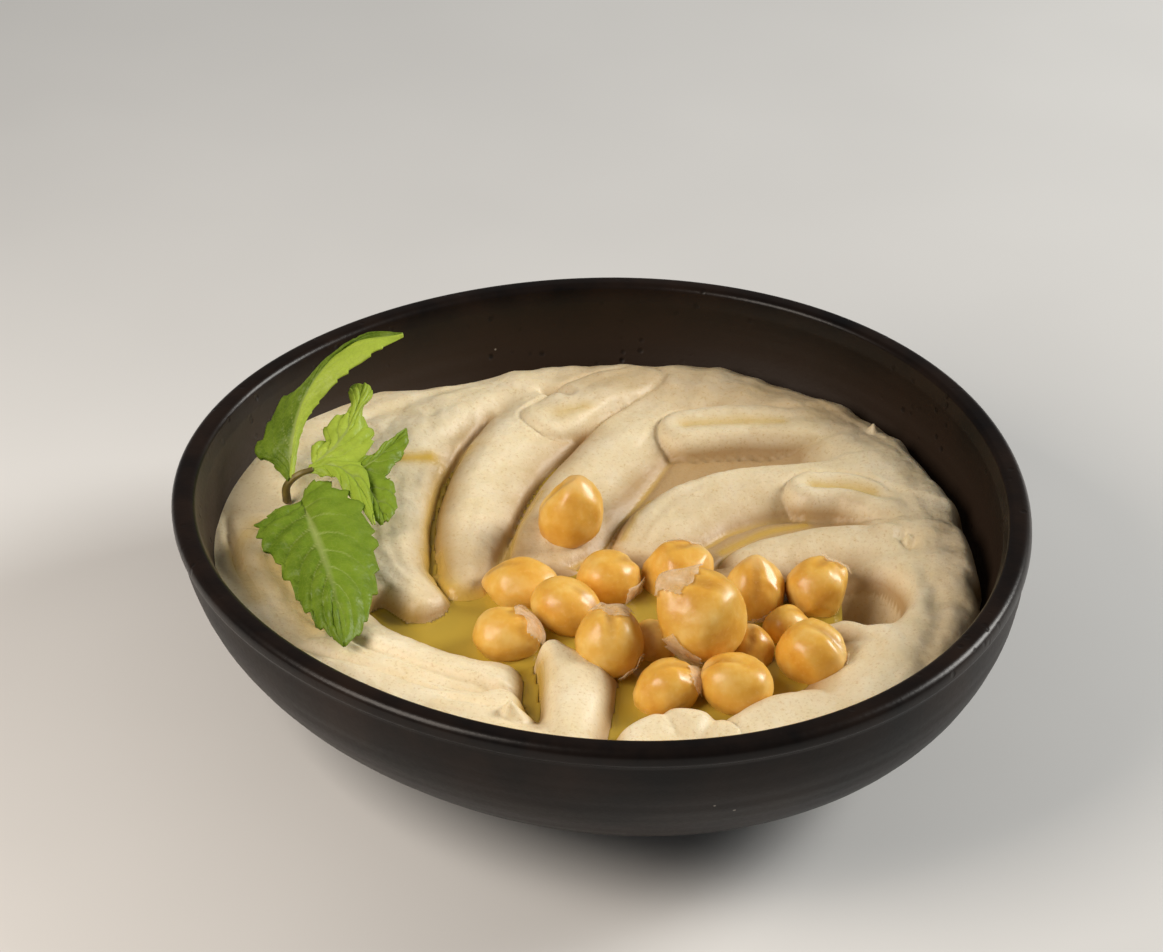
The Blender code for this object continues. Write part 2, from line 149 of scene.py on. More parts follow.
def outerRadius(z):
    down = np.clip((-bowl["lipDepth"] - z) / (bowl["bodyDepth"] - bowl["lipDepth"]), 0, 1)
    full = (1 - down ** bowl["fullness"][0]) ** (1 / bowl["fullness"][1])
    return bowl["footRadius"] + (bowl["bodyRadius"] - bowl["footRadius"]) * full


def innerRadius(z):
    return outerRadius(z) - bowl["wall"]


def arc(middle, size, start, end, steps):    # points of a quarter turn or so, from start to end in degrees
    turns = np.radians(np.linspace(start, end, steps))
    return [(middle[0] + size * np.cos(t), middle[1] + size * np.sin(t)) for t in turns]


def turnProfile(profile, segments):
    shape = bmesh.new()
    line = [shape.verts.new((radius, 0, z)) for radius, z in profile]
    edges = [shape.edges.new(pair) for pair in zip(line, line[1:])]
    bmesh.ops.spin(shape, geom=line + edges, cent=(0, 0, 0), axis=(0, 0, 1), dvec=(0, 0, 0),
                   angle=2 * np.pi, steps=segments, use_merge=True)
    bmesh.ops.remove_doubles(shape, verts=shape.verts, dist=0.001)
    bmesh.ops.recalc_face_normals(shape, faces=shape.faces)
    places = vertexPlaces(shape)
    factor = mouthFactor(np.arctan2(places[:, 1], places[:, 0]))
    places[:, 0] = places[:, 0] * factor + lean(places[:, 2])
    places[:, 1] *= factor * bowl["narrowing"]
    moveVertices(shape, places)
    return shape


# Black stoneware with a satin glaze: soft broad lights on the lip, and a pitted inside painted browner and lighter
# deeper down, which is painted light on the inner wall.
def makeStoneware():
    made, tree = startMaterial("satin black glazed stoneware")
    place = addNode(tree, "ShaderNodeTexCoord").outputs["Object"]
    zone = addNode(tree, "ShaderNodeAttribute", {"attribute_name": "zone"}).outputs["Fac"]
    cloud = addNode(tree, "ShaderNodeTexNoise", links={"Vector": place}, Scale=55, Detail=4, Roughness=0.6).outputs["Fac"]
    fine = addNode(tree, "ShaderNodeTexNoise", links={"Vector": place}, Scale=1100, Detail=3, Roughness=0.6).outputs["Fac"]
    pit = addNode(tree, "ShaderNodeTexVoronoi", links={"Vector": place}, Scale=320).outputs["Distance"]
    speck = addNode(tree, "ShaderNodeTexVoronoi", links={"Vector": place}, Scale=85, Randomness=1.0).outputs["Distance"]
    # painted light: the inside runs from a dark brown at the lip to a lighter brown towards the hummus, standing in for
    # light on the inner wall
    base = addRamp(tree, zone, ((0.0, "#0b0706"), (0.45, "#080606"), (0.6, "#13100d"), (1.0, "#2f241b")))
    warm = mixColours(tree, addRamp(tree, cloud, ((0.35, 0.0), (0.7, 0.5))), base, "#2f2118")
    pits = addRamp(tree, pit, ((0.1, 1.0), (0.24, 0.0)))
    patches = addRamp(tree, cloud, ((0.5, 0.0), (0.62, 1.0)))
    pitShare = addNode(tree, "ShaderNodeMath", {"operation": "MULTIPLY"}, {0: pits, 1: patches}).outputs[0]
    pitInside = addNode(tree, "ShaderNodeMath", {"operation": "MULTIPLY"}, {0: pitShare, 1: zone}).outputs[0]
    pitted = mixColours(tree, pitInside, warm, "#070605")
    specks = addRamp(tree, speck, ((0.018, 1.0), (0.028, 0.0)))
    colour = mixColours(tree, specks, pitted, "#8d867c")
    rough = addRamp(tree, zone, ((0.0, 0.44), (0.45, 0.30), (0.6, 0.40), (1.0, 0.50)))
    roughness = mixColours(tree, 0.16, rough, fine, "OVERLAY")
    bumpFine = addNode(tree, "ShaderNodeBump", links={"Height": fine}, Strength=0.16, Distance=0.0002)
    bump = addNode(tree, "ShaderNodeBump", {"invert": True}, {"Height": pitInside, "Normal": bumpFine.outputs[0]},
                   Strength=0.7, Distance=0.0003)
    shader = addNode(tree, "ShaderNodeBsdfPrincipled",
                     links={"Base Color": colour, "Roughness": roughness, "Normal": bump.outputs[0]}, IOR=1.5, Specular_IOR_Level=0.2)
    addNode(tree, "ShaderNodeOutputMaterial", links={"Surface": shader.outputs[0]})
    return made


def makeBowl():
    footInside = bowl["footRadius"] - bowl["footRing"]
    bottom = -bowl["height"]
    profile = [(0, bottom + bowl["footRecess"]), (footInside - 3, bottom + bowl["footRecess"])]
    profile += arc((footInside - 1, bottom + bowl["footRecess"] - 0.8), 0.8, 90, 10, 4)
    profile += arc((footInside + 1.2, bottom + 0.7), 0.7, 200, 270, 4)
    profile += arc((bowl["footRadius"] - 0.7, bottom + 0.7), 0.7, 270, 360, 5)
    profile += [(outerRadius(z), z) for z in np.linspace(-bowl["bodyDepth"], -bowl["lipDepth"] - 0.4, 44)]
    profile += arc((bowl["rimRadius"] - 0.8, -2.5), 0.8, -50, 0, 4)
    profile += arc((bowl["rimRadius"] - 1.7, -1.7), 1.7, 0, 90, 8)
    profile += arc((bowl["rimRadius"] - 3.1, -1.4), 1.4, 90, 180, 7)
    profile += [(innerRadius(z), z) for z in np.linspace(-3.2, -bowl["floorDepth"] + 0.4, 40)]
    profile += [(r, -bowl["floorDepth"]) for r in (24, 16, 8, 0)]
    shape = turnProfile(profile, bowl["segments"])
    places = vertexPlaces(shape)
    z = places[:, 2]
    angle = np.arctan2(places[:, 1], places[:, 0])
    radius = np.hypot(places[:, 0] - lean(z), places[:, 1]) / mouthFactor(angle)
    inside = (radius < outerRadius(z) - 2.2) & (z > bottom + 3)
    # inside the bowl the zone rises with depth, which lightens the painted brown of the inner wall (painted light)
    zone = np.where(inside, 0.6 + 0.4 * np.clip((-z - 3) / 9, 0, 1), 0.45 * np.clip(1 + (z + 3) / 2, 0, 1))
    zone = np.where(z > -1.6, 0.45, zone)
    wave = 0.12 * noise(angle * 9 / np.pi * 2, z, 3.2, 11) + 0.05 * np.sin(z * 1.9 + np.sin(angle * 2))
    wave *= np.clip((-z - 4) / 6, 0, 1) * np.clip((z + 41) / 5, 0, 1)
    places[:, 0] -= np.abs(wave) * np.cos(angle)
    places[:, 1] -= np.abs(wave) * np.sin(angle)
    moveVertices(shape, places)
    return addPiece("stonewareBowl", shape, makeStoneware(), ["bowl"], {"zone": zone})


# Hummus

# Crest from the outer ring in to the pool, then the widths of its left and right side along it.
petals = (
    dict(crest=((-36, 55, -12), (-42, 40, -12), (-45, 22, -12), (-44.6, 5, -12.2), (-42, -8, -12.6), (-35, -18, -13.6)),
         left=(9, 12.5, 12.5, 11.5, 8), right=(20, 18, 13, 9), cap=4.5, power=(3.2, 2.4), fall=(4.6, 4.0)),
    dict(crest=((-12, 50, -12), (-20, 38, -12.3), (-23.8, 26, -12.6), (-26, 8, -12.8), (-27, -11, -15)),
         left=(12, 12.5, 11.5, 9.5, 8), right=(7.5, 8.5, 9, 8.5, 7), cap=5, power=(2.0, 2.4), fall=(4.4, 5.0)),
    dict(crest=((12, 54, -12.5), (3, 42, -12.6), (-3, 30, -12.6), (-8.6, 17, -12.8), (-12, 5, -13), (-13.4, -2, -14.4)),
         left=(11, 13, 14, 13.5, 11), right=(7, 7, 7.2, 7.2, 6.6), cap=5, power=(2.0, 4.0), fall=(4.2, 5.0)),
    dict(crest=((52, 31, -12), (38, 28.4, -12.4), (26, 25.4, -12.7), (15.6, 19, -12.8), (9, 10, -13.2), (5.8, 2, -14.4)),
         left=(12, 13.5, 14, 13.5, 11), right=(3, 3, 4.2, 5.6, 6.6, 7), cap=5, power=(2.0, 4.0), fall=(4.2, 5.0)),
    dict(crest=((62, 6, -11), (50, 6, -12), (41, 5.2, -12.4), (33, 2.2, -12.8), (27.5, -1, -13.8), (23, -4.5, -15.8)),
         left=(9, 9, 9.5, 9.5, 9), right=(4, 4.4, 5, 6.4, 7), cap=5, power=(2.2, 3.6), fall=(4.8, 4.8)),
)
frontFolds = (
    dict(crest=((-60, -14, -12.5), (-50, -26, -12.2), (-41, -33.5, -12), (-31, -39, -12), (-19, -42, -12.4)),
         left=(9, 9, 9, 8), right=(10, 8, 7, 7), cap=5, fall=(5, 4)),
    dict(crest=((-9.6, -34, -10.8), (-7.6, -41, -11), (-5.5, -50, -11.6), (-5, -62, -12)),
         left=(3.5, 11, 9, 8), right=(2.8, 4.2, 5.4, 7), cap=1.8, power=(2.8, 2.8), fall=(4.6, 5)),
    dict(crest=((-17, -50, -12), (-22, -53, -11.6), (-30, -52, -11.6), (-40, -47, -12), (-52, -38, -12.4)),
         left=(6, 6), right=(8, 8), cap=5, fall=(4, 4)),
    dict(crest=((5, -57, -12.2), (14, -53.6, -11.6), (22.5, -56, -12.2)), left=(5, 6, 5), right=(6, 6), cap=4, fall=(5, 5)),
    dict(crest=((25, -54, -12), (31, -49, -11.6), (38, -46, -12.2)), left=(6, 6), right=(7, 7), cap=4, fall=(5, 5)),
    dict(crest=((41, -22.6, -13.8), (45, -22.6, -12.8), (50, -24.9, -12.2), (52, -31, -12), (50, -39, -12.2), (46, -45, -12.6)),
         left=(4, 5, 7, 8), right=(3.2, 4, 4.5, 5), cap=3, fall=(5, 5)),
)
# Flat-topped tongues where the spoon was set down, from the ring to the blunt front.
tongues = (
    dict(crest=((6, 61, -11.4), (-4, 53, -10.8), (-9, 47.4, -10.9), (-13.3, 43.8, -11.3)),
         left=(8, 8, 7.6, 7.2), right=(7, 7, 6.8, 6.6), cap=6, power=(5, 5), fall=(4.2, 4.0)),
    dict(crest=((52, 45, -12), (38, 43.5, -11), (26, 42.8, -10.8), (15.5, 41.2, -11.2)),
         left=(7.5, 7.6, 7, 6.8), right=(9, 8.4, 8, 8), cap=7, power=(5, 5), fall=(4.0, 4.2)),
    dict(crest=((62, 13, -11.6), (53, 17, -11), (46, 20.4, -10.7), (39.6, 20.8, -11.0)),
         left=(7, 6.6, 6.4, 6.4), right=(6, 6.4, 6.6, 6.8), cap=6.4, power=(5, 5), fall=(4.0, 4.4)),
)
# Round the ring: degrees, crest radius, crest height, height at the wall, sharpness of the shoulder, inner width.
ring = np.array((
    (0, 61, -11, -20, 6, 16), (30, 60, -11, -19, 5, 14), (60, 60, -12, -18, 3.5, 11.5), (90, 59, -11.5, -17.5, 2.8, 12),
    (108, 60, -12, -18.5, 2.6, 12), (122, 59, -12.4, -17, 2.2, 14), (135, 59, -12.2, -13.8, 1.8, 18),
    (155, 61, -11.6, -12.2, 2, 22), (180, 62, -12, -12.3, 2.4, 22), (210, 62, -12, -12, 2, 20), (240, 62, -12, -12.5, 2, 14),
    (270, 66, -12, -13, 2, 12), (300, 66, -12, -13, 2, 12), (330, 63, -11.5, -15, 3, 14), (360, 61, -11, -20, 6, 16)))
# Grooves pressed into it: line, half width, depth, fade past the ends.
grooves = (
    (((52, 19), (46, 21), (40, 21.5)), 2.2, 1.6, 3), (((34, 43), (24, 42.5), (15, 41.5)), 2.6, 0.8, 3),
    (((-5, 47), (-11, 43)), 2.4, 0.5, 3), (((41, -16), (46, -14.5)), 3.6, 6.0, 2), (((-12, -37), (-11.8, -43), (-13.5, -51)), 1.9, 2.4, 2),
    (((4.5, -40), (3.5, -47), (0.5, -57)), 3.0, 3.2, 3), (((-13.5, 53.5), (-9, 51.5)), 1.3, 1.5, 1.5),
    (((-24.9, 45), (-28.6, 35.8), (-32, 23.5), (-33.6, 9), (-32.8, -5)), 0.8, 1.6, 2), (((0.2, 48), (-4.7, 41.7), (-9.4, 32.3), (-15.5, 18.5), (-18.4, 6)), 0.7, 0.9, 2),
    (((56, 3.5), (57, 1.5)), 1.3, 1.6, 1.5), (((-42, 43), (-36.5, 44.5)), 3.2, 1.0, 3),
    (((-74, 20), (-73.6, 10), (-71.6, -1), (-69, -10)), 0.9, 3.0, 3),
    (((-42, -18.5), (-36.5, -24), (-29, -29.2), (-21, -32)), 2.5, 5.0, 1.5),
    (((-51, -29.5), (-41, -36.5), (-30, -41.8), (-20, -45)), 0.9, 0.9, 4), (((-53, -37), (-42, -42), (-31, -46.5)), 1.0, 1.2, 3),
    (((-27, -50), (-20, -52)), 1.0, 1.0, 2), (((10, -50), (13, -56)), 1.2, 0.8, 2), (((20, -52), (17.5, -58)), 1.2, 0.9, 2),
    (((-30, 39), (-27, 44), (-22, 49)), 2.0, 1.3, 4), (((-64, -2), (-60, -14), (-53, -25)), 2.4, 0.9, 5),
    (((-52, 38), (-44, 45), (-34, 52)), 1.6, 0.8, 4), (((60, -10), (61, -22), (58, -34)), 2.0, 0.9, 6),
)
hummus = dict(poolFloor=-21.5, poolMiddle=(9, -23), poolSize=(38, 24), oilLevel=-17.3, creaseFloor=-16.1, cells=300,
              pocket=(49.8, -14.4, 5.4, 7.0, 11.0), peak=(-16, -53.5, -9.3), horn=(53, 6, -10.6),
              fins=((52.3, 41.5, -9.6), (54.6, 38.6, -11), (57.8, 30.4, -10.6), (61.4, 25.4, -11.2), (57, 3, -10.2), (47, 3.5, -11.4)))


def smoothLine(points, steps=48):    # a smooth curve through a few points
    given = np.array(points, float)
    ends = np.vstack([2 * given[0] - given[1], given, 2 * given[-1] - given[-2]])
    t = np.linspace(0, 1, steps // (len(given) - 1), endpoint=False)[:, None]
    parts = [0.5 * (2 * b + (c - a) * t + (2 * a - 5 * b + 4 * c - d) * t ** 2 + (3 * b - a - 3 * c + d) * t ** 3)
             for a, b, c, d in zip(ends, ends[1:], ends[2:], ends[3:])]
    return np.vstack(parts + [given[-1:]])


def besideLine(x, y, line):    # distance to the left, share of the length, distance past the ends, distance along
    run = np.gradient(line[:, :2], axis=0)
    step = np.linalg.norm(run, axis=1, keepdims=True)
    run /= step
    nearest = np.zeros(x.shape, int)
    least = np.full(x.shape, 1e9)
    for number, (px, py) in enumerate(line[:, :2]):
        away = (x - px) ** 2 + (y - py) ** 2
        closer = away < least
        least[closer], nearest[closer] = away[closer], number
    dx, dy = x - line[nearest, 0], y - line[nearest, 1]
    ahead = dx * run[nearest, 0] + dy * run[nearest, 1]
    left = dy * run[nearest, 0] - dx * run[nearest, 1]
    last = len(line) - 1
    past = np.where(nearest == last, np.maximum(ahead, 0), 0) + np.where(nearest == 0, np.maximum(-ahead, 0), 0)
    share = np.clip((nearest + np.clip(ahead / step[nearest, 0], -0.5, 0.5)) / last, 0, 1)
    return left, share, past, share * step.sum()


def spread(share, values):
    return np.interp(share, np.linspace(0, 1, len(values)), values)


def ridge(x, y, crest, left, right, cap, fall, power=(2.0, 2.6)):
    line = smoothLine(crest)
    side, share, past, along = besideLine(x, y, line)
    onLeft = np.clip(side / 3 + 0.5, 0, 1)
    width = np.where(side > 0, spread(share, left), spread(share, right))
    away = np.hypot(side / width, past / cap)    # rounds the blunt ends
    drop = (fall[1] + (fall[0] - fall[1]) * onLeft) * away ** (power[1] + (power[0] - power[1]) * onLeft)
    return spread(share, line[:, 2]) - drop, side, along


def higher(a, b, blend, crevice=0.0):    # the higher of two surfaces, rounded or cut where they meet
    near = np.maximum(blend - np.abs(a - b), 0) / blend
    return np.maximum(a, b) + near ** 2 * blend / 4 - crevice * np.exp(-((a - b) / 0.6) ** 2)


def ringValues(angle):
    degrees = np.degrees(angle) % 360
    at = np.clip(np.searchsorted(ring[:, 0], degrees, side="right") - 1, 0, len(ring) - 2)
    share = (degrees - ring[at, 0]) / (ring[at + 1, 0] - ring[at, 0])
    share = (share * share * (3 - 2 * share))[..., None]
    return np.moveaxis(ring[at, 1:] * (1 - share) + ring[at + 1, 1:] * share, -1, 0)


def hummusHeight(x, y, fill=0.0, detail=True):    # fill, from 0 to 1, is how much the creases are filled
    middle, size = hummus["poolMiddle"], hummus["poolSize"]
    fromPool = np.hypot((x - middle[0]) / size[0], (y - middle[1]) / size[1])
    height = np.minimum(hummus["poolFloor"] + 4.2 * np.clip(fromPool - 0.75, 0, 1), hummus["oilLevel"] - 0.3)
    beyond = np.clip((y + 14) / 7, 0, 1) * np.clip((fromPool - 0.80) / 0.12, 0, 1)
    height += beyond * (hummus["creaseFloor"] - height)
    across, along = x.copy(), y.copy()
    for folds, blend, cut in ((petals, 0.3 + 0.9 * fill, 1.5), (frontFolds, 0.5, 0.6)):
        group = np.full(x.shape, hummus["poolFloor"])
        for fold in folds:
            top, side, run = ridge(x, y, **fold)
            across, along = np.where(top > group, side, across), np.where(top > group, run, along)
            clear = np.clip((group - hummus["oilLevel"] + 0.6) / 1.5, 0, 1)
            group = higher(group, top, blend, cut * (1 - fill) * clear)
        height = higher(height, group, 0.3, 0.7 * (1 - fill) * (folds is petals))
    centred = x - lean(hummus["oilLevel"])
    radius, angle = np.hypot(centred, y), np.arctan2(y, centred)
    crestRadius, crest, wallHeight, sharpness, inner = ringValues(angle)
    ragged = 0.8 * noise(angle * 60, radius * 0, 8, 5) + 0.6 * noise(angle * 60, radius * 0, 3, 6) if detail else 0
    if detail:
        crest = crest + 0.65 * noise(angle * 60, radius * 0, 11, 7) + 0.35 * noise(angle * 60, radius * 0, 4, 8)
    bank = crest - 5 * (np.maximum(crestRadius - radius, 0) / inner) ** 2
    across, along = np.where(bank > height, radius, across), np.where(bank > height, angle * 60, along)
    height = higher(height, bank, 2.2)
    for tongue in tongues:
        top, side, run = ridge(x, y, **tongue)
        across, along = np.where(top > height, side, across), np.where(top > height, run, along)
        height = higher(height, top, 0.3, 0.5 * (1 - fill))
    for line, width, depth, fade in grooves:
        side, share, past, run = besideLine(x, y, smoothLine([(*p, 0) for p in line]))
        height -= depth * np.exp(-(side / width) ** 2 - (past / fade) ** 2)
    px, py, halfX, halfY, depth = hummus["pocket"]
    height -= depth * np.exp(-(((x - px) / halfX) ** 2 + ((y - py) / halfY) ** 2) ** 1.7)
    px, py, top = hummus["peak"]
    height = np.maximum(height, top - 1.9 * np.hypot((x - px) / 1.1, y - py) ** 0.85)
    px, py, top = hummus["horn"]
    height = higher(height, top - 0.25 * np.hypot((x - px) / 1.3, y - py) ** 2, 0.8)
    for px, py, top in hummus["fins"]:
        height = np.maximum(height, top - 1.9 * np.hypot(x - px, (y - py) / 1.4) ** 0.8)
    if detail:
        calm = np.clip((height - hummus["oilLevel"]) / 3, 0.15, 1)
        height += calm * (0.15 * noise(across, along / 9, 1.5, 21) + 0.14 * noise(across, along / 4, 3.1, 22)
                          + 0.22 * noise(x, y, 4.3, 23) + 0.11 * noise(x, y, 1.7, 24) + 0.06 * noise(x, y, 0.8, 25))
    wall = innerRadius(wallHeight) * mouthFactor(angle)
    shoulder = (radius + ragged - crestRadius) / (wall - crestRadius)
    return height - (height - wallHeight) * np.clip(shoulder, 0, 1) ** sharpness


# Hummus is a smooth paste of chickpeas and sesame: soft light inside it, fine pale and tan grain, and oil in places,
# with painted shade: a darker tan where it lies low and in listed shaded places, and the front mint leaf's shadow
# painted in the oil colour.
def makeHummusPaste():
    made, tree = startMaterial("hummus paste")
    place = addNode(tree, "ShaderNodeTexCoord").outputs["Object"]
    oilSoakAndLeafShadow = addNode(tree, "ShaderNodeAttribute", {"attribute_name": "oilSoakAndLeafShadow"}).outputs["Fac"]
    low = addNode(tree, "ShaderNodeAttribute", {"attribute_name": "low"}).outputs["Fac"]
    grain = addNode(tree, "ShaderNodeTexNoise", links={"Vector": place}, Scale=1500, Detail=4, Roughness=0.7).outputs["Fac"]
    flecks = addNode(tree, "ShaderNodeTexVoronoi", links={"Vector": place}, Scale=900).outputs["Distance"]
    cloud = addNode(tree, "ShaderNodeTexNoise", links={"Vector": place}, Scale=130, Detail=3, Roughness=0.55).outputs["Fac"]
    base = addRamp(tree, cloud, ((0.3, "#e7d6ae"), (0.55, "#eddebb"), (0.75, "#f2e6c8")))
    grained = mixColours(tree, addRamp(tree, grain, ((0.56, 0.0), (0.72, 0.35))), base, "#fbf1d2")
    tanned = mixColours(tree, addRamp(tree, grain, ((0.3, 0.6), (0.45, 0.0))), grained, "#c8a870")
    flecked = mixColours(tree, addRamp(tree, flecks, ((0.05, 0.35), (0.16, 0.0))), tanned, "#bf9a5e")
    # the oil colour also paints the front mint leaf's shadow, carried in the same mask
    patchy = addNode(tree, "ShaderNodeMath", {"operation": "MULTIPLY"}, {0: oilSoakAndLeafShadow, 1: addRamp(tree, cloud, ((0.3, 0.75), (0.7, 1.0)))})
    # painted shade: darker tan where the paste lies low, in the creases, hollows and pool bed (partly oil soak), and in
    # the listed shaded places
    shadeDarkened = mixColours(tree, addRamp(tree, low, ((0.0, 0.0), (0.4, 0.25), (1.0, 0.75))), flecked, "#a0773b")
    colour = mixColours(tree, patchy.outputs[0], shadeDarkened, "#cfa93c")
    roughness = addRamp(tree, oilSoakAndLeafShadow, ((0.0, 0.42), (0.5, 0.25), (1.0, 0.12)))
    bumpFine = addNode(tree, "ShaderNodeBump", links={"Height": grain}, Strength=0.5, Distance=0.00022)
    bump = addNode(tree, "ShaderNodeBump", links={"Height": cloud, "Normal": bumpFine.outputs[0]}, Strength=0.4, Distance=0.0006)
    shader = addNode(tree, "ShaderNodeBsdfPrincipled",
                     links={"Base Color": colour, "Roughness": roughness, "Normal": bump.outputs[0]},
                     IOR=1.45, Subsurface_Weight=0.2, Subsurface_Scale=0.0015, Subsurface_Radius=(1.0, 0.7, 0.4))
    addNode(tree, "ShaderNodeOutputMaterial", links={"Surface": shader.outputs[0]})
    return made


# Where oil has soaked the surface, and under the front mint leaf a painted shadow of that leaf in the oil colour: line,
# half width, strength.
oilAndLeafShadowPlaces = (
    (((-43, 25.5), (-39, 27), (-35, 29)), 1.8, 1.0), (((-10, 44), (-5, 46)), 1.8, 0.45), (((34, 43), (24, 42.5), (15, 41.5)), 1.6, 0.55),
    (((51, 19.5), (46, 21), (40, 21.5)), 1.5, 0.7), (((-12, -37), (-11.8, -43), (-13.5, -51)), 1.8, 0.8),
    # the (-62, -8) to (-52, -30) patch, under the front mint leaf, is that leaf's painted shadow, not oil
    (((-62, -8), (-58, -18), (-52, -30)), 4.0, 0.55), (((-32, 28), (-33.5, 12), (-33, -4)), 2.0, 0.45),
    (((-28, 34), (-33, 20), (-34, 2), (-31, -10)), 1.4, 0.6), (((-33, -2), (-31, -10), (-27, -14.5), (-22, -13)), 2.6, 0.85),
    (((-47, -16), (-41, -19.5), (-35, -21.5)), 1.6, 0.5), (((3, 4), (8, 19)), 0.9, 0.6), (((22, 3), (30, 9.6), (38, 13)), 1.1, 0.7),
    (((-19, -2), (-17, 6), (-13, 18)), 0.9, 0.6), (((-66, 2), (-69, -8), (-64, -22)), 2.5, 0.5),
)

# Where shade is painted into the paste, darker on the shaded side of the folds, in the pocket, along the far and right
# ring and by the left wall: line, half width, strength.
paintedShadePlaces = (
    (((-25, 42), (-30, 26), (-31.5, 8), (-31, -6)), 3.6, 0.3), (((-3, 38), (-10, 24), (-15.5, 6), (-17, -2)), 3.6, 0.55),
    (((28, 35), (15, 31), (7, 22), (2, 12)), 3.6, 0.6), (((48, 15.5), (36, 13.5), (27, 9)), 3.2, 0.5),
    (((40, 36), (28, 36), (19, 32.5)), 3.5, 0.6), (((47, -11.5), (49.5, -16)), 5.0, 0.9),
    (((48, 46), (24, 56), (-4, 58)), 11.0, 0.6), (((64, 4), (66, -15), (60, -34)), 7.0, 0.4),
    (((34, 38), (24, 31)), 4.5, 0.4), (((54, 10), (36, 4)), 7.0, 0.35), (((14, 16), (22, 20), (32, 24)), 5.0, 0.2), (((-8, 26), (-4, 36)), 6, 0.2),
    (((38, -44), (30, -48)), 6.0, 0.3), (((-72, 18), (-71, 0), (-66, -14)), 5.0, 0.4),
)


def alongPlaces(x, y, places):    # strongest along each line, fading to nothing beside it
    strongest = np.zeros(len(x))
    for line, width, strength in places:
        side, share, past, run = besideLine(x, y, smoothLine([(*p, 0) for p in line]))
        strongest = np.maximum(strongest, strength * np.exp(-(side / width) ** 2 - (past / width) ** 2))
    return strongest


def makeHummus():
    shape = bmesh.new()
    cells = hummus["cells"]
    bmesh.ops.create_grid(shape, x_segments=cells, y_segments=cells, size=1)
    places = vertexPlaces(shape)
    x = places[:, 0] * np.sqrt(1 - places[:, 1] ** 2 / 2)    # the square's edge becomes a circle
    y = places[:, 1] * np.sqrt(1 - places[:, 0] ** 2 / 2)
    angle, reach = np.arctan2(y, x), np.hypot(x, y)
    wallHeight = ringValues(angle)[2]
    reach *= innerRadius(wallHeight) * mouthFactor(angle) + 0.9    # just into the wall
    x, y = reach * np.cos(angle) + lean(hummus["oilLevel"]), reach * np.sin(angle)
    z = hummusHeight(x, y)
    moveVertices(shape, np.stack([x, y, z], 1))
    edge = [e for e in shape.edges if e.is_boundary]
    for depth in (24, 28, 32, 35, 37):    # the unseen underside follows the inside of the bowl
        made = bmesh.ops.extrude_edge_only(shape, edges=edge)["geom"]
        edge = [g for g in made if isinstance(g, bmesh.types.BMEdge) and g.is_boundary]
        for vertex in {v for e in edge for v in e.verts}:
            turn = np.arctan2(vertex.co.y, vertex.co.x - lean(vertex.co.z))
            radius = (innerRadius(-depth) + 0.9) * mouthFactor(turn)
            vertex.co = (radius * np.cos(turn) + lean(-depth), radius * np.sin(turn), -depth)
    bmesh.ops.edgeloop_fill(shape, edges=edge)
    bmesh.ops.recalc_face_normals(shape, faces=shape.faces)
    shape.verts.ensure_lookup_table()
    places = vertexPlaces(shape)
    x, y = places[:, 0], places[:, 1]
    oilSoakAndLeafShadow = alongPlaces(x, y, oilAndLeafShadowPlaces)
    film = hummusHeight(x, y, 1.0, False) - hummusHeight(x, y, 0.0, False)
    oilSoakAndLeafShadow = np.maximum(oilSoakAndLeafShadow, np.clip(film * 1.4 - 0.5, 0, 0.8) * np.exp(-np.maximum(np.hypot(x - 0, y + 5) - 30, 0) / 10))
    # low carries painted shade: it grows where the paste lies below the crests, weaker under the oil, and takes in the
    # listed shaded places
    low = np.clip((-12.7 - places[:, 2]) / 3.4, 0, 1.2) * np.clip((places[:, 2] - hummus["oilLevel"]) / 0.8 + 0.6, 0.25, 1)
    low = np.clip(low + alongPlaces(x, y, paintedShadePlaces), 0, 1.2)
    return addPiece("hummusSwirl", shape, makeHummusPaste(), ["hummus"], {"oilSoakAndLeafShadow": oilSoakAndLeafShadow, "low": low})


# Olive oil: clear, yellow where it is shallow and deep gold where it is not, with a sharp gloss.
def makeOliveOil():
    made, tree = startMaterial("clear olive oil")
    depth = addNode(tree, "ShaderNodeAttribute", {"attribute_name": "depth"}).outputs["Fac"]
    place = addNode(tree, "ShaderNodeTexCoord").outputs["Object"]
    swirl = addNode(tree, "ShaderNodeTexNoise", links={"Vector": place}, Scale=160, Detail=2).outputs["Fac"]
    tint = addRamp(tree, depth, ((0.0, "#fffef4"), (0.15, "#fff9cf"), (0.5, "#fbec9c"), (1.0, "#f0dc7c")))
    bump = addNode(tree, "ShaderNodeBump", links={"Height": swirl}, Strength=0.15, Distance=0.001)
    clear = addNode(tree, "ShaderNodeBsdfTransparent", links={"Color": tint})
    cloudy = addNode(tree, "ShaderNodeBsdfDiffuse", Color=linear("#ecca50"))
    body = addNode(tree, "ShaderNodeMixShader", {}, {1: clear.outputs[0], 2: cloudy.outputs[0]}, Fac=0.5)
    gloss = addNode(tree, "ShaderNodeBsdfGlossy", links={"Normal": bump.outputs[0]}, Roughness=0.04)
    fresnel = addNode(tree, "ShaderNodeFresnel", links={"Normal": bump.outputs[0]}, IOR=1.47)
    shader = addNode(tree, "ShaderNodeMixShader", {}, {0: fresnel.outputs[0], 1: body.outputs[0], 2: gloss.outputs[0]})
    addNode(tree, "ShaderNodeOutputMaterial", links={"Surface": shader.outputs[0]})
    return made


oil = dict(low=(-46, -58), high=(44, 36), cell=0.55)


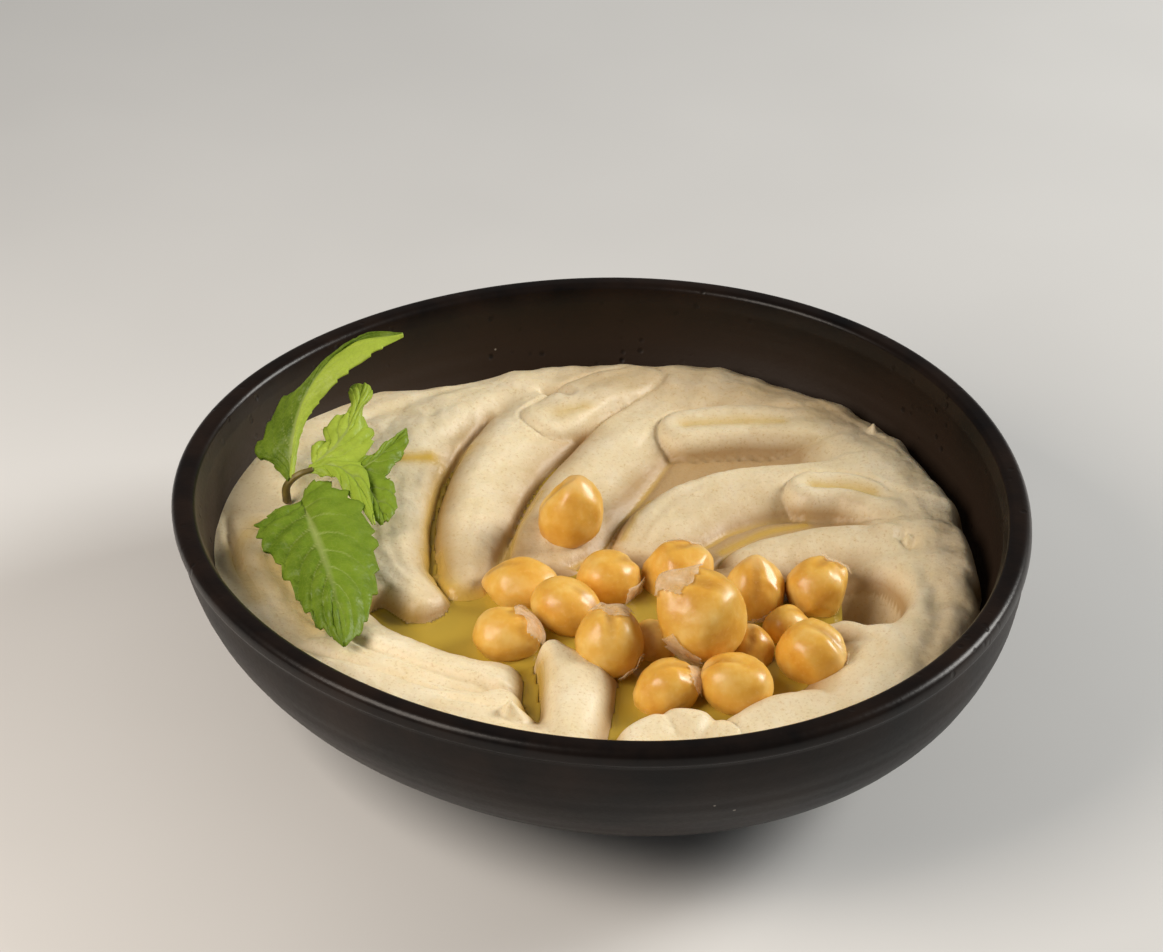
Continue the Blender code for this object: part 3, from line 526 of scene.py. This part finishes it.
def makeOil():
    shape = bmesh.new()
    low, high = np.array(oil["low"], float), np.array(oil["high"], float)
    steps = np.round((high - low) / oil["cell"]).astype(int)
    bmesh.ops.create_grid(shape, x_segments=int(steps[0]), y_segments=int(steps[1]), size=1)
    places = vertexPlaces(shape)
    x = (places[:, 0] + 1) / 2 * (high - low)[0] + low[0]
    y = (places[:, 1] + 1) / 2 * (high - low)[1] + low[1]
    bed = hummusHeight(x, y)
    nearPool = np.exp(-np.maximum(np.hypot(x + 2, y + 8) - 14, 0) / 16)
    rise = hummusHeight(x, y, nearPool, False) - hummusHeight(x, y, detail=False)
    film = np.where(rise > 0.9, bed + rise - 0.8, bed - 0.6)
    level = np.full(len(x), hummus["oilLevel"])
    for (px, py, pz), (length, width, height), turn, form in chickpeas:    # oil climbs a little where it meets them
        away = np.hypot(x - px, y - py) - (length + width) / 4 * 0.92
        level += 0.45 * np.exp(-np.maximum(away, 0) / 0.9) * (np.abs(pz - hummus["oilLevel"]) < 6)
    level += 0.35 * np.exp(-np.maximum(hummus["oilLevel"] - bed, 0) / 0.5)
    top = np.maximum(film, level)
    moveVertices(shape, np.stack([x, y, top], 1))
    wet = top > bed - 0.5
    shape.verts.ensure_lookup_table()
    bmesh.ops.delete(shape, geom=[v for v, keep in zip(shape.verts[:], wet) if not keep], context="VERTS")
    bmesh.ops.delete(shape, geom=[v for v in shape.verts if not v.link_faces], context="VERTS")
    upper = vertexPlaces(shape)
    bed = hummusHeight(upper[:, 0], upper[:, 1])
    lower = [g for g in bmesh.ops.extrude_face_region(shape, geom=shape.faces[:])["geom"] if isinstance(g, bmesh.types.BMVert)]
    for vertex in lower:
        vertex.co.z = min(vertex.co.z, hummus["oilLevel"] + 8)
    shape.verts.ensure_lookup_table()
    places = vertexPlaces(shape)
    bedThere = hummusHeight(places[:, 0], places[:, 1])
    depth = np.clip((places[:, 2] - bedThere) / 5, 0, 1)
    chosen = set(lower)
    for number, vertex in enumerate(shape.verts):
        if vertex in chosen:
            vertex.co.z = min(bedThere[number], vertex.co.z) - 0.5
    bmesh.ops.recalc_face_normals(shape, faces=shape.faces)
    return addPiece("oliveOilPool", shape, makeOliveOil(), ["olive_oil"], {"depth": depth})


# Chickpeas

# Middle, then length along the beak, width and height, then how it is turned, in degrees, then beak, cleft, facets and lumps.
chickpeas = (
    ((-7.0, 5.5, -10.2), (14.0, 11.8, 11.6), (0, -82, 0), (0.18, 0.13, 0.55, 0.04)),
    ((-15.8, -11.4, -15.0), (13.6, 11.0, 9.8), (0, 5, 170), (0.12, 0.05, 0.30, 0.06)),
    ((0.4, -9.3, -14.5), (12.4, 11.4, 10.6), (20, 0, 40), (0.06, 0.06, 0.15, 0.04)),
    ((-7.4, -20.4, -13.2), (13.2, 11.0, 10.4), (0, 10, -20), (0.08, 0.03, 0.15, 0.03)),
    ((-17.6, -28.6, -14.0), (12.8, 10.8, 10.0), (0, 0, 10), (0.08, 0.04, 0.20, 0.04)),
    ((1.0, -33.5, -11.2), (13.0, 12.4, 12.2), (0, -50, 95), (0.06, 0.12, 0.20, 0.03)),
    ((13.3, -5.2, -15.1), (13.0, 11.4, 11.2), (0, -25, 40), (0.10, 0.05, 0.80, 0.05)),
    ((17.2, -30.2, -7.2), (16.2, 15.2, 14.6), (0, -40, 160), (0.34, 0.09, 0.60, 0.04)),
    ((27.8, -12.0, -14.5), (12.4, 11.2, 11.2), (0, -75, 90), (0.17, 0.04, 0.35, 0.07)),
    ((39.6, -10.6, -14.0), (11.8, 11.0, 10.8), (0, -20, 60), (0.10, 0.12, 0.50, 0.10)),
    ((37.8, -31.9, -13.5), (12.8, 12.2, 12.2), (0, -20, -30), (0.06, 0.13, 0.35, 0.04)),
    ((26.6, -28.6, -15.7), (9.4, 8.6, 8.6), (0, -60, 90), (0.04, 0.04, 0.20, 0.04)),
    ((11.3, -42.6, -14.5), (12.0, 10.4, 10.4), (0, -20, 20), (0.12, 0.06, 0.40, 0.06)),
    ((23.8, -42.0, -13.6), (13.2, 11.6, 11.2), (0, -15, 165), (0.06, 0.15, 0.25, 0.03)),
    ((9.2, -26.6, -16.5), (9.6, 8.8, 8.8), (0, 0, 90), (0.05, 0.05, 0.20, 0.04)),
    ((33.4, -20.5, -16.5), (9.0, 8.2, 8.2), (0, 0, 30), (0.05, 0.05, 0.20, 0.04)),
)
pea = dict(beakSpread=0.36, cleftSpread=0.20, around=56, upwards=36, planes=13, corner=14)


def chickpeaShape(number, grow=0.0):
    middle, size, turn, (beak, cleft, facets, lumps) = chickpeas[number]
    shape = bmesh.new()
    bmesh.ops.create_uvsphere(shape, u_segments=pea["around"], v_segments=pea["upwards"], radius=1)
    rotation = np.array(Euler(np.radians(turn)).to_matrix())
    way = vertexPlaces(shape)[:, [2, 0, 1]]
    way /= np.linalg.norm(way, axis=1, keepdims=True)
    x, y, z = way.T
    fromBeak = np.arccos(np.clip(x, -1, 1))
    seed = 100 + number * 7
    draw = np.random.default_rng(seed)
    planes = draw.normal(size=(pea["planes"], 3))
    planes /= np.linalg.norm(planes, axis=1, keepdims=True) * draw.uniform(0.86, 1.0, (pea["planes"], 1))
    faceted = np.minimum((np.maximum(way @ planes.T, 0) ** pea["corner"]).sum(1).clip(1e-9) ** (-1 / pea["corner"]), 1.1)
    reach = 1 - facets + facets * faceted * 1.03 + beak * np.exp(-(fromBeak / pea["beakSpread"]) ** 1.6)
    groove = np.exp(-(y / pea["cleftSpread"]) ** 2) * np.clip(x + 0.45, 0, 1) * np.clip(z + 0.5, 0, 1)
    reach -= cleft * groove
    reach += lumps * (noise(x + z * 0.7, y - z * 0.6, 0.75, seed) + 0.5 * noise(x - z, y + z * 0.5, 0.42, seed + 1))
    reach += 0.010 * noise(x * 1.3 + z, y + z, 0.16, seed + 2)
    spots = way * reach[:, None] * (np.array(size) / 2 + grow)
    moveVertices(shape, spots @ rotation.T + middle)
    return shape, np.stack([way[:, 0], groove, reach], 1)


# Boiled chickpeas: a thin wet skin over soft golden flesh, browner in the groove and paler at the beak.
def makeChickpeaSkin():
    made, tree = startMaterial("boiled chickpea in its skin")
    place = addNode(tree, "ShaderNodeTexCoord").outputs["Object"]
    form = addNode(tree, "ShaderNodeAttribute", {"attribute_name": "form"}).outputs["Vector"]
    parts = addNode(tree, "ShaderNodeSeparateXYZ", links={"Vector": form}).outputs
    cloud = addNode(tree, "ShaderNodeTexNoise", links={"Vector": place}, Scale=170, Detail=3, Roughness=0.6).outputs["Fac"]
    fine = addNode(tree, "ShaderNodeTexNoise", links={"Vector": place}, Scale=1400, Detail=3, Roughness=0.6).outputs["Fac"]
    base = addRamp(tree, cloud, ((0.3, "#d99c38"), (0.5, "#e4b04a"), (0.72, "#edc56e")))
    groove = mixColours(tree, addRamp(tree, parts["Y"], ((0.3, 0.0), (0.9, 0.45))), base, "#a8702a")
    tip = mixColours(tree, addRamp(tree, parts["X"], ((0.86, 0.0), (0.99, 0.5))), groove, "#eecb8b")
    colour = mixColours(tree, addRamp(tree, fine, ((0.55, 0.0), (0.75, 0.18))), tip, "#f0d49b")
    roughness = addRamp(tree, cloud, ((0.3, 0.30), (0.7, 0.46)))
    bump = addNode(tree, "ShaderNodeBump", links={"Height": fine}, Strength=0.25, Distance=0.00015)
    shader = addNode(tree, "ShaderNodeBsdfPrincipled",
                     links={"Base Color": colour, "Roughness": roughness, "Normal": bump.outputs[0]},
                     IOR=1.45, Subsurface_Weight=0.2, Subsurface_Scale=0.002, Subsurface_Radius=(1.0, 0.6, 0.3),
                     Coat_Weight=0.18, Coat_Roughness=0.2)
    addNode(tree, "ShaderNodeOutputMaterial", links={"Surface": shader.outputs[0]})
    return made


def makeChickpeas():
    finish = makeChickpeaSkin()
    for number in range(len(chickpeas)):
        shape, form = chickpeaShape(number)
        addPiece(f"chickpea{number + 1:02d}", shape, finish, [f"chickpea_{number + 1:02d}"], {"form": form})


# Loose skins: the chickpea's number, the way the skin faces (round and up, in degrees), its reach and how far it curls off.
skins = (
    (3, (-25, -22), 0.62, 0.9), (5, (8, 28), 0.72, 1.0), (6, (85, 58), 0.62, 0.8), (6, (-35, -30), 0.42, 1.3),
    (7, (95, 42), 0.62, 0.5), (8, (150, 52), 0.52, 0.9), (8, (-125, -34), 0.55, 1.2), (9, (-85, -38), 0.60, 1.0),
    (10, (40, 38), 0.46, 0.9), (11, (-20, -5), 0.34, 0.6), (13, (-5, 22), 0.48, 0.5),
)


# A loose chickpea skin: whitish, wet and partly see-through.
def makeLooseSkin():
    made, tree = startMaterial("loose chickpea skin")
    place = addNode(tree, "ShaderNodeTexCoord").outputs["Object"]
    cloud = addNode(tree, "ShaderNodeTexNoise", links={"Vector": place}, Scale=500, Detail=3).outputs["Fac"]
    colour = addRamp(tree, cloud, ((0.3, "#f3e2bd"), (0.7, "#fff6e2")))
    bump = addNode(tree, "ShaderNodeBump", links={"Height": cloud}, Strength=0.5, Distance=0.0003)
    clear = addNode(tree, "ShaderNodeBsdfTransparent")
    film = addNode(tree, "ShaderNodeBsdfPrincipled", links={"Base Color": colour, "Normal": bump.outputs[0]}, Roughness=0.25, IOR=1.45)
    glow = addNode(tree, "ShaderNodeBsdfTranslucent", links={"Color": colour})
    lit = addNode(tree, "ShaderNodeMixShader", {}, {1: film.outputs[0], 2: glow.outputs[0]}, Fac=0.5)
    share = addRamp(tree, cloud, ((0.3, 0.25), (0.7, 0.6)))
    both = addNode(tree, "ShaderNodeMixShader", {}, {0: share, 1: clear.outputs[0], 2: lit.outputs[0]})
    addNode(tree, "ShaderNodeOutputMaterial", links={"Surface": both.outputs[0]})
    return made


def makeSkins():
    finish = makeLooseSkin()
    for at, (number, (turned, up), reach, curl) in enumerate(skins):
        shape, form = chickpeaShape(number - 1, 0.10)
        middle = np.array(chickpeas[number - 1][0])
        faces = np.array([np.cos(np.radians(up)) * np.cos(np.radians(turned)),
                          np.cos(np.radians(up)) * np.sin(np.radians(turned)), np.sin(np.radians(up))])
        places = vertexPlaces(shape)
        way = (places - middle) / np.linalg.norm(places - middle, axis=1, keepdims=True)
        away = np.arccos(np.clip(way @ faces, -1, 1)) / reach
        torn = away + 0.35 * noise(way[:, 0] * 3 + way[:, 2], way[:, 1] * 3 - way[:, 2], 0.8, 300 + at)
        lift = curl * np.clip(torn, 0, 1) ** 3 * (0.6 + 0.5 * noise(way[:, 0] * 4, way[:, 1] * 4 + way[:, 2], 0.9, 330 + at))
        moveVertices(shape, places + way * np.maximum(lift, 0)[:, None])
        shape.verts.ensure_lookup_table()
        bmesh.ops.delete(shape, geom=[v for v, far in zip(shape.verts[:], torn > 1) if far], context="VERTS")
        bmesh.ops.delete(shape, geom=[v for v in shape.verts if not v.link_faces], context="VERTS")
        skin = addPiece(f"chickpeaSkin{at + 1:02d}", shape, finish)
        thickness = skin.modifiers.new("Thickness", "SOLIDIFY")
        thickness.thickness = 0.00012
        thickness.offset = 1


# Mint

# Each leaf from its stalk to its tip: midrib, left and right edge, then how pale and how quilted each half is.
leaves = {
    "mintLeafFront": dict(
        node="mint_leaf_front", teeth=12, veins=8, tones=(0.27, 0.38), quilts=(0.80, 0.50), ruffle=0.2,
        rib=((-57.5, 0.6, -6), (-55.2, -7.2, -5), (-52.7, -15.7, -4.6), (-50.5, -23.3, -4.8), (-48.5, -29.8, -6), (-46.4, -38.4, -9.5)),
        left=((-57.6, 0.7, -6.5), (-62.2, -2.5, -6.2), (-65.3, -7, -7), (-63.7, -12, -7.6), (-60.3, -17.6, -8), (-56.9, -24.8, -8.4),
              (-53.3, -31.9, -9), (-49.6, -36, -9.6), (-46.3, -39.3, -10)),
        right=((-57.5, 1.6, -6.4), (-56.6, 5.3, -5.2), (-52.3, 5.2, -4.8), (-47.1, 0.3, -5.4), (-43.5, -7.8, -6.4), (-42.1, -15.9, -7.4),
               (-41.8, -26, -8.4), (-43.5, -34.9, -9.4), (-46.1, -39.2, -10))),
    "mintLeafBack": dict(
        node="mint_leaf_back", teeth=11, veins=9, tones=(0.18, 1.0), quilts=(0.45, 0.15), ruffle=0.2,
        rib=((-60.6, 8, -6), (-60.5, 11.6, -3.5), (-60.2, 15.5, 0), (-58.8, 21.1, 4), (-55.1, 26.1, 8.5), (-49.7, 30.7, 11.3), (-40.5, 31.8, 12.3)),
        left=((-60.8, 7.6, -6), (-64.3, 12.2, -5.5), (-67.8, 15.3, -5), (-66.1, 19.7, -2.5), (-63.6, 25.1, 1), (-59.5, 24.8, 4.5),
              (-56.3, 26.9, 8), (-51.5, 29, 11), (-46.7, 32.7, 12.2), (-40.6, 32.1, 12.3)),
        right=((-60, 8, -6), (-59.7, 12.1, -3.8), (-59.1, 15.9, -0.6), (-56.6, 19.9, 3), (-52, 23.4, 7.3), (-46.3, 27.1, 10.6), (-40.5, 31.7, 12.2))),
    "mintLeafMiddle": dict(
        node="mint_leaf_middle", teeth=7, veins=6, tones=(1.0, 0.92), quilts=(0.55, 0.5), ruffle=0.7,
        rib=((-56.5, 11.9, -5), (-53.1, 14.5, -3.2), (-50.2, 18.8, -1), (-48.7, 24.1, 1), (-48, 29.2, 2.4)),
        left=((-56.7, 12.8, -5), (-56.9, 16.1, -4), (-54.6, 17.6, -3.4), (-54.9, 20.7, -2), (-52, 22.5, -1), (-50.2, 25.2, 0.4),
              (-50.8, 27.9, 1.2), (-50.5, 29.7, 1.8)),
        right=((-55.9, 9.9, -5.2), (-50.2, 9.9, -5), (-45.6, 16.1, -3.2), (-45.9, 20.1, -2), (-47.9, 23.3, 0), (-46.4, 26.6, 1),
               (-46.5, 28.9, 2), (-47.7, 29.4, 2.4))),
    "mintLeafMiddleFoot": dict(
        node=None, teeth=5, veins=5, tones=(0.85, 0.8), quilts=(0.4, 0.4), ruffle=0.5,
        rib=((-57.2, 9.8, -5), (-52.5, 10.2, -4), (-48, 6, -4.4), (-44.2, -1.5, -6)),
        left=((-57, 11.6, -5), (-52.6, 12.6, -4.2), (-46.8, 10.6, -4.4), (-43.4, -4.7, -7)),
        right=((-56.8, 8.9, -5), (-52.8, 7.2, -4.6), (-49.2, 3.1, -5.2), (-43.8, -4.9, -7))),
    "mintLeafRight": dict(
        node="mint_leaf_right", teeth=6, veins=5, tones=(0.50, 0.42), quilts=(0.5, 0.45), ruffle=0.4,
        rib=((-48.6, 9.8, -5.5), (-44.9, 13.2, -4.4), (-42, 17.6, -3.8), (-39.4, 22.2, -3.3)),
        left=((-48.1, 13.7, -5), (-45.5, 14.6, -4.2), (-42.6, 18.4, -3.6), (-39.4, 22.6, -3.3)),
        right=((-46.8, 7.1, -6), (-43.2, 7.4, -6), (-41, 12.7, -5), (-38.9, 17.7, -4), (-39.3, 22.2, -3.3))),
    "mintLeafRightLobe": dict(
        node=None, teeth=4, veins=4, tones=(0.46, 0.40), quilts=(0.45, 0.45), ruffle=0.3,
        rib=((-47.6, 9.3, -5.6), (-44.8, 5, -6.4), (-42.9, 0.7, -7.2), (-41.8, -2.6, -7.8)),
        left=((-47, 10.2, -5.6), (-42, 9.3, -6), (-40.4, 5.8, -6.6), (-39.8, 0.5, -7.2), (-41.2, -2.6, -7.8)),
        right=((-47.7, 7.3, -6), (-45.8, 2.1, -7), (-43.8, -2.4, -7.6), (-42, -3.3, -8))),
}
leafMake = dict(across=40, lengthwise=110, thickness=0.35, lift=1.1, crown=0.5, tooth=0.13)
stem = dict(line=((-61.2, 8.1, -11), (-61.3, 8.1, -8), (-60.3, 8.3, -6.2), (-58.5, 8.5, -4.8), (-56.2, 9.2, -4.2)), radius=0.8)


# Fresh mint leaf: green, quilted between pale veins with painted shade in the dips of the quilting, one half paler than
# the other, and light passes through it.
def makeMintLeaf():
    made, tree = startMaterial("fresh mint leaf")
    leafPlace = addNode(tree, "ShaderNodeAttribute", {"attribute_name": "leafPlace"}).outputs["Vector"]
    parts = addNode(tree, "ShaderNodeSeparateXYZ", links={"Vector": leafPlace}).outputs
    place = addNode(tree, "ShaderNodeTexCoord").outputs["Object"]
    cloud = addNode(tree, "ShaderNodeTexNoise", links={"Vector": place}, Scale=260, Detail=3).outputs["Fac"]
    cells = addNode(tree, "ShaderNodeTexVoronoi", {"feature": "DISTANCE_TO_EDGE"}, {"Vector": place}, Scale=1000).outputs["Distance"]
    tone = addRamp(tree, parts["X"], ((0.0, "#4f6518"), (0.3, "#6d8c22"), (0.7, "#a9c43c"), (1.0, "#c6da58")))
    base = mixColours(tree, addRamp(tree, cloud, ((0.35, 0.0), (0.7, 0.45))), tone, "#a2bd3e")
    # painted shade: darker green in the dips of the quilting beside the veins, stronger on the left half
    quilted = mixColours(tree, addRamp(tree, parts["Y"], ((0.0, 0.6), (0.5, 0.0))), base, "#46601a")
    veined = mixColours(tree, addRamp(tree, parts["Z"], ((0.25, 0.0), (1.0, 0.85))), quilted, "#bccb76")
    colour = mixColours(tree, addRamp(tree, cells, ((0.0, 0.3), (0.08, 0.0))), veined, "#a3b548")
    bump = addNode(tree, "ShaderNodeBump", links={"Height": cells}, Strength=0.4, Distance=0.0003)
    shader = addNode(tree, "ShaderNodeBsdfPrincipled", links={"Base Color": colour, "Normal": bump.outputs[0]},
                     Roughness=0.42, IOR=1.42, Specular_IOR_Level=0.4)
    through = addNode(tree, "ShaderNodeBsdfTranslucent", links={"Color": colour})
    both = addNode(tree, "ShaderNodeMixShader", {}, {1: shader.outputs[0], 2: through.outputs[0]}, Fac=0.35)
    addNode(tree, "ShaderNodeOutputMaterial", links={"Surface": both.outputs[0]})
    return made


def makeLeaf(name, finish, node, rib, left, right, teeth, veins, tones, quilts, ruffle):
    shape = bmesh.new()
    bmesh.ops.create_grid(shape, x_segments=leafMake["across"], y_segments=leafMake["lengthwise"], size=1)
    places = vertexPlaces(shape)
    u, v = places[:, 0], (places[:, 1] + 1) / 2
    lines = [smoothLine(edge, 96) for edge in (left, rib, right)]
    leftSpot, ribSpot, rightSpot = [np.stack([spread(v, line[:, axis]) for axis in range(3)], 1) for line in lines]
    edgeSpot = np.where((u > 0)[:, None], rightSpot, leftSpot)
    out = np.abs(u)
    saw = (v * teeth + 0.15 * np.sin(v * 37)) % 1
    tooth = leafMake["tooth"] * (saw - 0.6) * out ** 4 * np.clip(np.minimum(v, 1 - v) * 9, 0, 1)
    spots = ribSpot + (edgeSpot - ribSpot) * (out * (1 + tooth))[:, None]
    phase = (v - 0.30 * out) * veins + np.where(u > 0, 0.5, 0)
    wave = np.abs(np.sin(np.pi * phase))
    shrink = np.clip(out * 5, 0, 1) * np.clip(np.minimum(v, 1 - v) * 7, 0, 1)
    quilt = np.where(u > 0, quilts[1], quilts[0])
    spots[:, 2] += leafMake["crown"] * np.sin(np.pi * out) + quilt * (wave ** 0.6 - 0.5) * shrink
    spots[:, 2] += quilt * 0.45 * noise(spots[:, 0], spots[:, 1], 1.1, 40 + teeth) * shrink
    spots[:, 2] += ruffle * np.sin(v * teeth * 2.6 + u * 2) * out ** 2 * shrink
    floor = hummusHeight(spots[:, 0], spots[:, 1], detail=False) + leafMake["lift"]
    spots[:, 2] = np.maximum(spots[:, 2], floor + 0.3 * (wave - 0.5) * shrink)
    moveVertices(shape, spots)
    midrib = np.exp(-(out * 11) ** 2) * np.clip(1.3 - v, 0.3, 1)
    sideVein = np.exp(-(wave * 5) ** 2) * np.clip(1.15 - out, 0, 1) * 0.95
    tone = tones[0] + (tones[1] - tones[0]) * np.clip(u * 4 + 0.5, 0, 1)
    # the second value is low in the quilting's dips, where the leaf material paints shade
    lookValues = np.stack([tone, wave ** 0.6 * np.clip(out * 6, 0, 1) + np.where(u > 0, 0.25, 0), np.maximum(midrib, sideVein)], 1)
    leaf = addPiece(name, shape, finish, [node] if node else (), {"leafPlace": lookValues})
    thickness = leaf.modifiers.new("Thickness", "SOLIDIFY")
    thickness.thickness = leafMake["thickness"] * 0.001
    thickness.offset = 0
    return leaf


# Mint stem: thin, ribbed and green-brown where it was cut.
def makeMintStem():
    made, tree = startMaterial("mint stem")
    place = addNode(tree, "ShaderNodeTexCoord").outputs["Object"]
    cloud = addNode(tree, "ShaderNodeTexNoise", links={"Vector": place}, Scale=400, Detail=3).outputs["Fac"]
    colour = addRamp(tree, cloud, ((0.3, "#4a3d16"), (0.6, "#6b5c20"), (0.8, "#8a7b34")))
    bump = addNode(tree, "ShaderNodeBump", links={"Height": cloud}, Strength=0.4, Distance=0.0002)
    shader = addNode(tree, "ShaderNodeBsdfPrincipled", links={"Base Color": colour, "Normal": bump.outputs[0]}, Roughness=0.5)
    addNode(tree, "ShaderNodeOutputMaterial", links={"Surface": shader.outputs[0]})
    return made


def makeStem():
    line = smoothLine(stem["line"], 40)
    shape = bmesh.new()
    bmesh.ops.create_cone(shape, cap_ends=True, segments=14, radius1=1, radius2=1, depth=2)
    upright = [e for e in shape.edges if abs(e.verts[0].co.z - e.verts[1].co.z) > 1]
    bmesh.ops.subdivide_edges(shape, edges=upright, cuts=len(line) - 2, use_grid_fill=True)
    run = np.gradient(line, axis=0)
    run /= np.linalg.norm(run, axis=1, keepdims=True)
    for vertex in shape.verts:
        share = (vertex.co.z + 1) / 2 * (len(line) - 1)
        at = int(round(share))
        forward = Vector(run[at])
        side = forward.cross(Vector((0.2, 1, 0.1))).normalized()
        over = side.cross(forward)
        thick = stem["radius"] * (1 - 0.35 * at / len(line)) * (1 + 0.12 * np.cos(4 * np.arctan2(vertex.co.y, vertex.co.x)))
        vertex.co = Vector(line[at]) + side * vertex.co.x * thick + over * vertex.co.y * thick
    bmesh.ops.recalc_face_normals(shape, faces=shape.faces)
    return addPiece("mintStem", shape, makeMintStem(), ["mint_stem"])


def makeMint():
    finish = makeMintLeaf()
    for name, parts in leaves.items():
        makeLeaf(name, finish, **parts)
    makeStem()


# Table, light and camera

studio = dict(floorHalf=1.5, camera=(1.252, -502.58, 376.4), lens=100.0,
              right=(0.9995, 0.0239, 0.0208), up=(-0.0305, 0.5486, 0.8356), forward=(-0.0085, 0.8358, -0.5490))


def makeFloor():
    made, tree = startMaterial("pale table top")
    place = addNode(tree, "ShaderNodeTexCoord").outputs["Object"]
    cloud = addNode(tree, "ShaderNodeTexNoise", links={"Vector": place}, Scale=12, Detail=2).outputs["Fac"]
    colour = addRamp(tree, cloud, ((0.3, "#d9d9d8"), (0.7, "#dededd")))
    shader = addNode(tree, "ShaderNodeBsdfPrincipled", links={"Base Color": colour}, Roughness=0.8)
    addNode(tree, "ShaderNodeOutputMaterial", links={"Surface": shader.outputs[0]})
    shape = bmesh.new()
    bmesh.ops.create_grid(shape, x_segments=1, y_segments=1, size=studio["floorHalf"])
    mesh = bpy.data.meshes.new("tableTop")
    shape.to_mesh(mesh)
    shape.free()
    mesh.materials.append(made)
    floor = bpy.data.objects.new("tableTop", mesh)
    bpy.context.collection.objects.link(floor)


def addLamp(name, place, aim, size, power, colour):
    lamp = bpy.data.lights.new(name, "AREA")
    lamp.shape = "RECTANGLE"
    lamp.size, lamp.size_y = size
    lamp.energy = power
    lamp.color = linear(colour)[:3]
    made = bpy.data.objects.new(name, lamp)
    made.location = place
    made.visible_camera = False
    made.rotation_euler = (Vector(aim) - Vector(place)).to_track_quat("-Z", "Y").to_euler()
    bpy.context.collection.objects.link(made)


def makeStudio():
    makeFloor()
    addLamp("windowLight", (0.94, 0.34, 0.56), (0, 0, 0.03), (0.42, 0.42), 12.5, "#fffdf8")
    addLamp("softFill", (-0.24, -0.17, 0.27), (-0.03, 0, 0.03), (0.20, 0.20), 1.25, "#fff3e6")
    world = bpy.data.worlds.new("softRoom")
    world.use_nodes = True
    world.node_tree.nodes["Background"].inputs["Color"].default_value = linear("#f4f4f4")
    world.node_tree.nodes["Background"].inputs["Strength"].default_value = 0.15
    bpy.context.scene.world = world
    bpy.context.scene.view_settings.view_transform = "Standard"
    lens = bpy.data.cameras.new("tableCamera")
    lens.lens = studio["lens"]
    lens.sensor_width = 36
    lens.clip_end = 20
    camera = bpy.data.objects.new("tableCamera", lens)
    turned = Matrix((studio["right"], studio["up"], -Vector(studio["forward"]))).transposed()
    camera.matrix_world = Matrix.Translation(Vector(studio["camera"]) * 0.001) @ turned.to_4x4()
    bpy.context.collection.objects.link(camera)
    bpy.context.scene.camera = camera


makeBowl()
print("bowl made")
makeHummus()
print("hummus made")
makeOil()
print("oil made")
makeChickpeas()
makeSkins()
print("chickpeas made")
makeMint()
print("mint made")
makeStudio()
print("studio made")
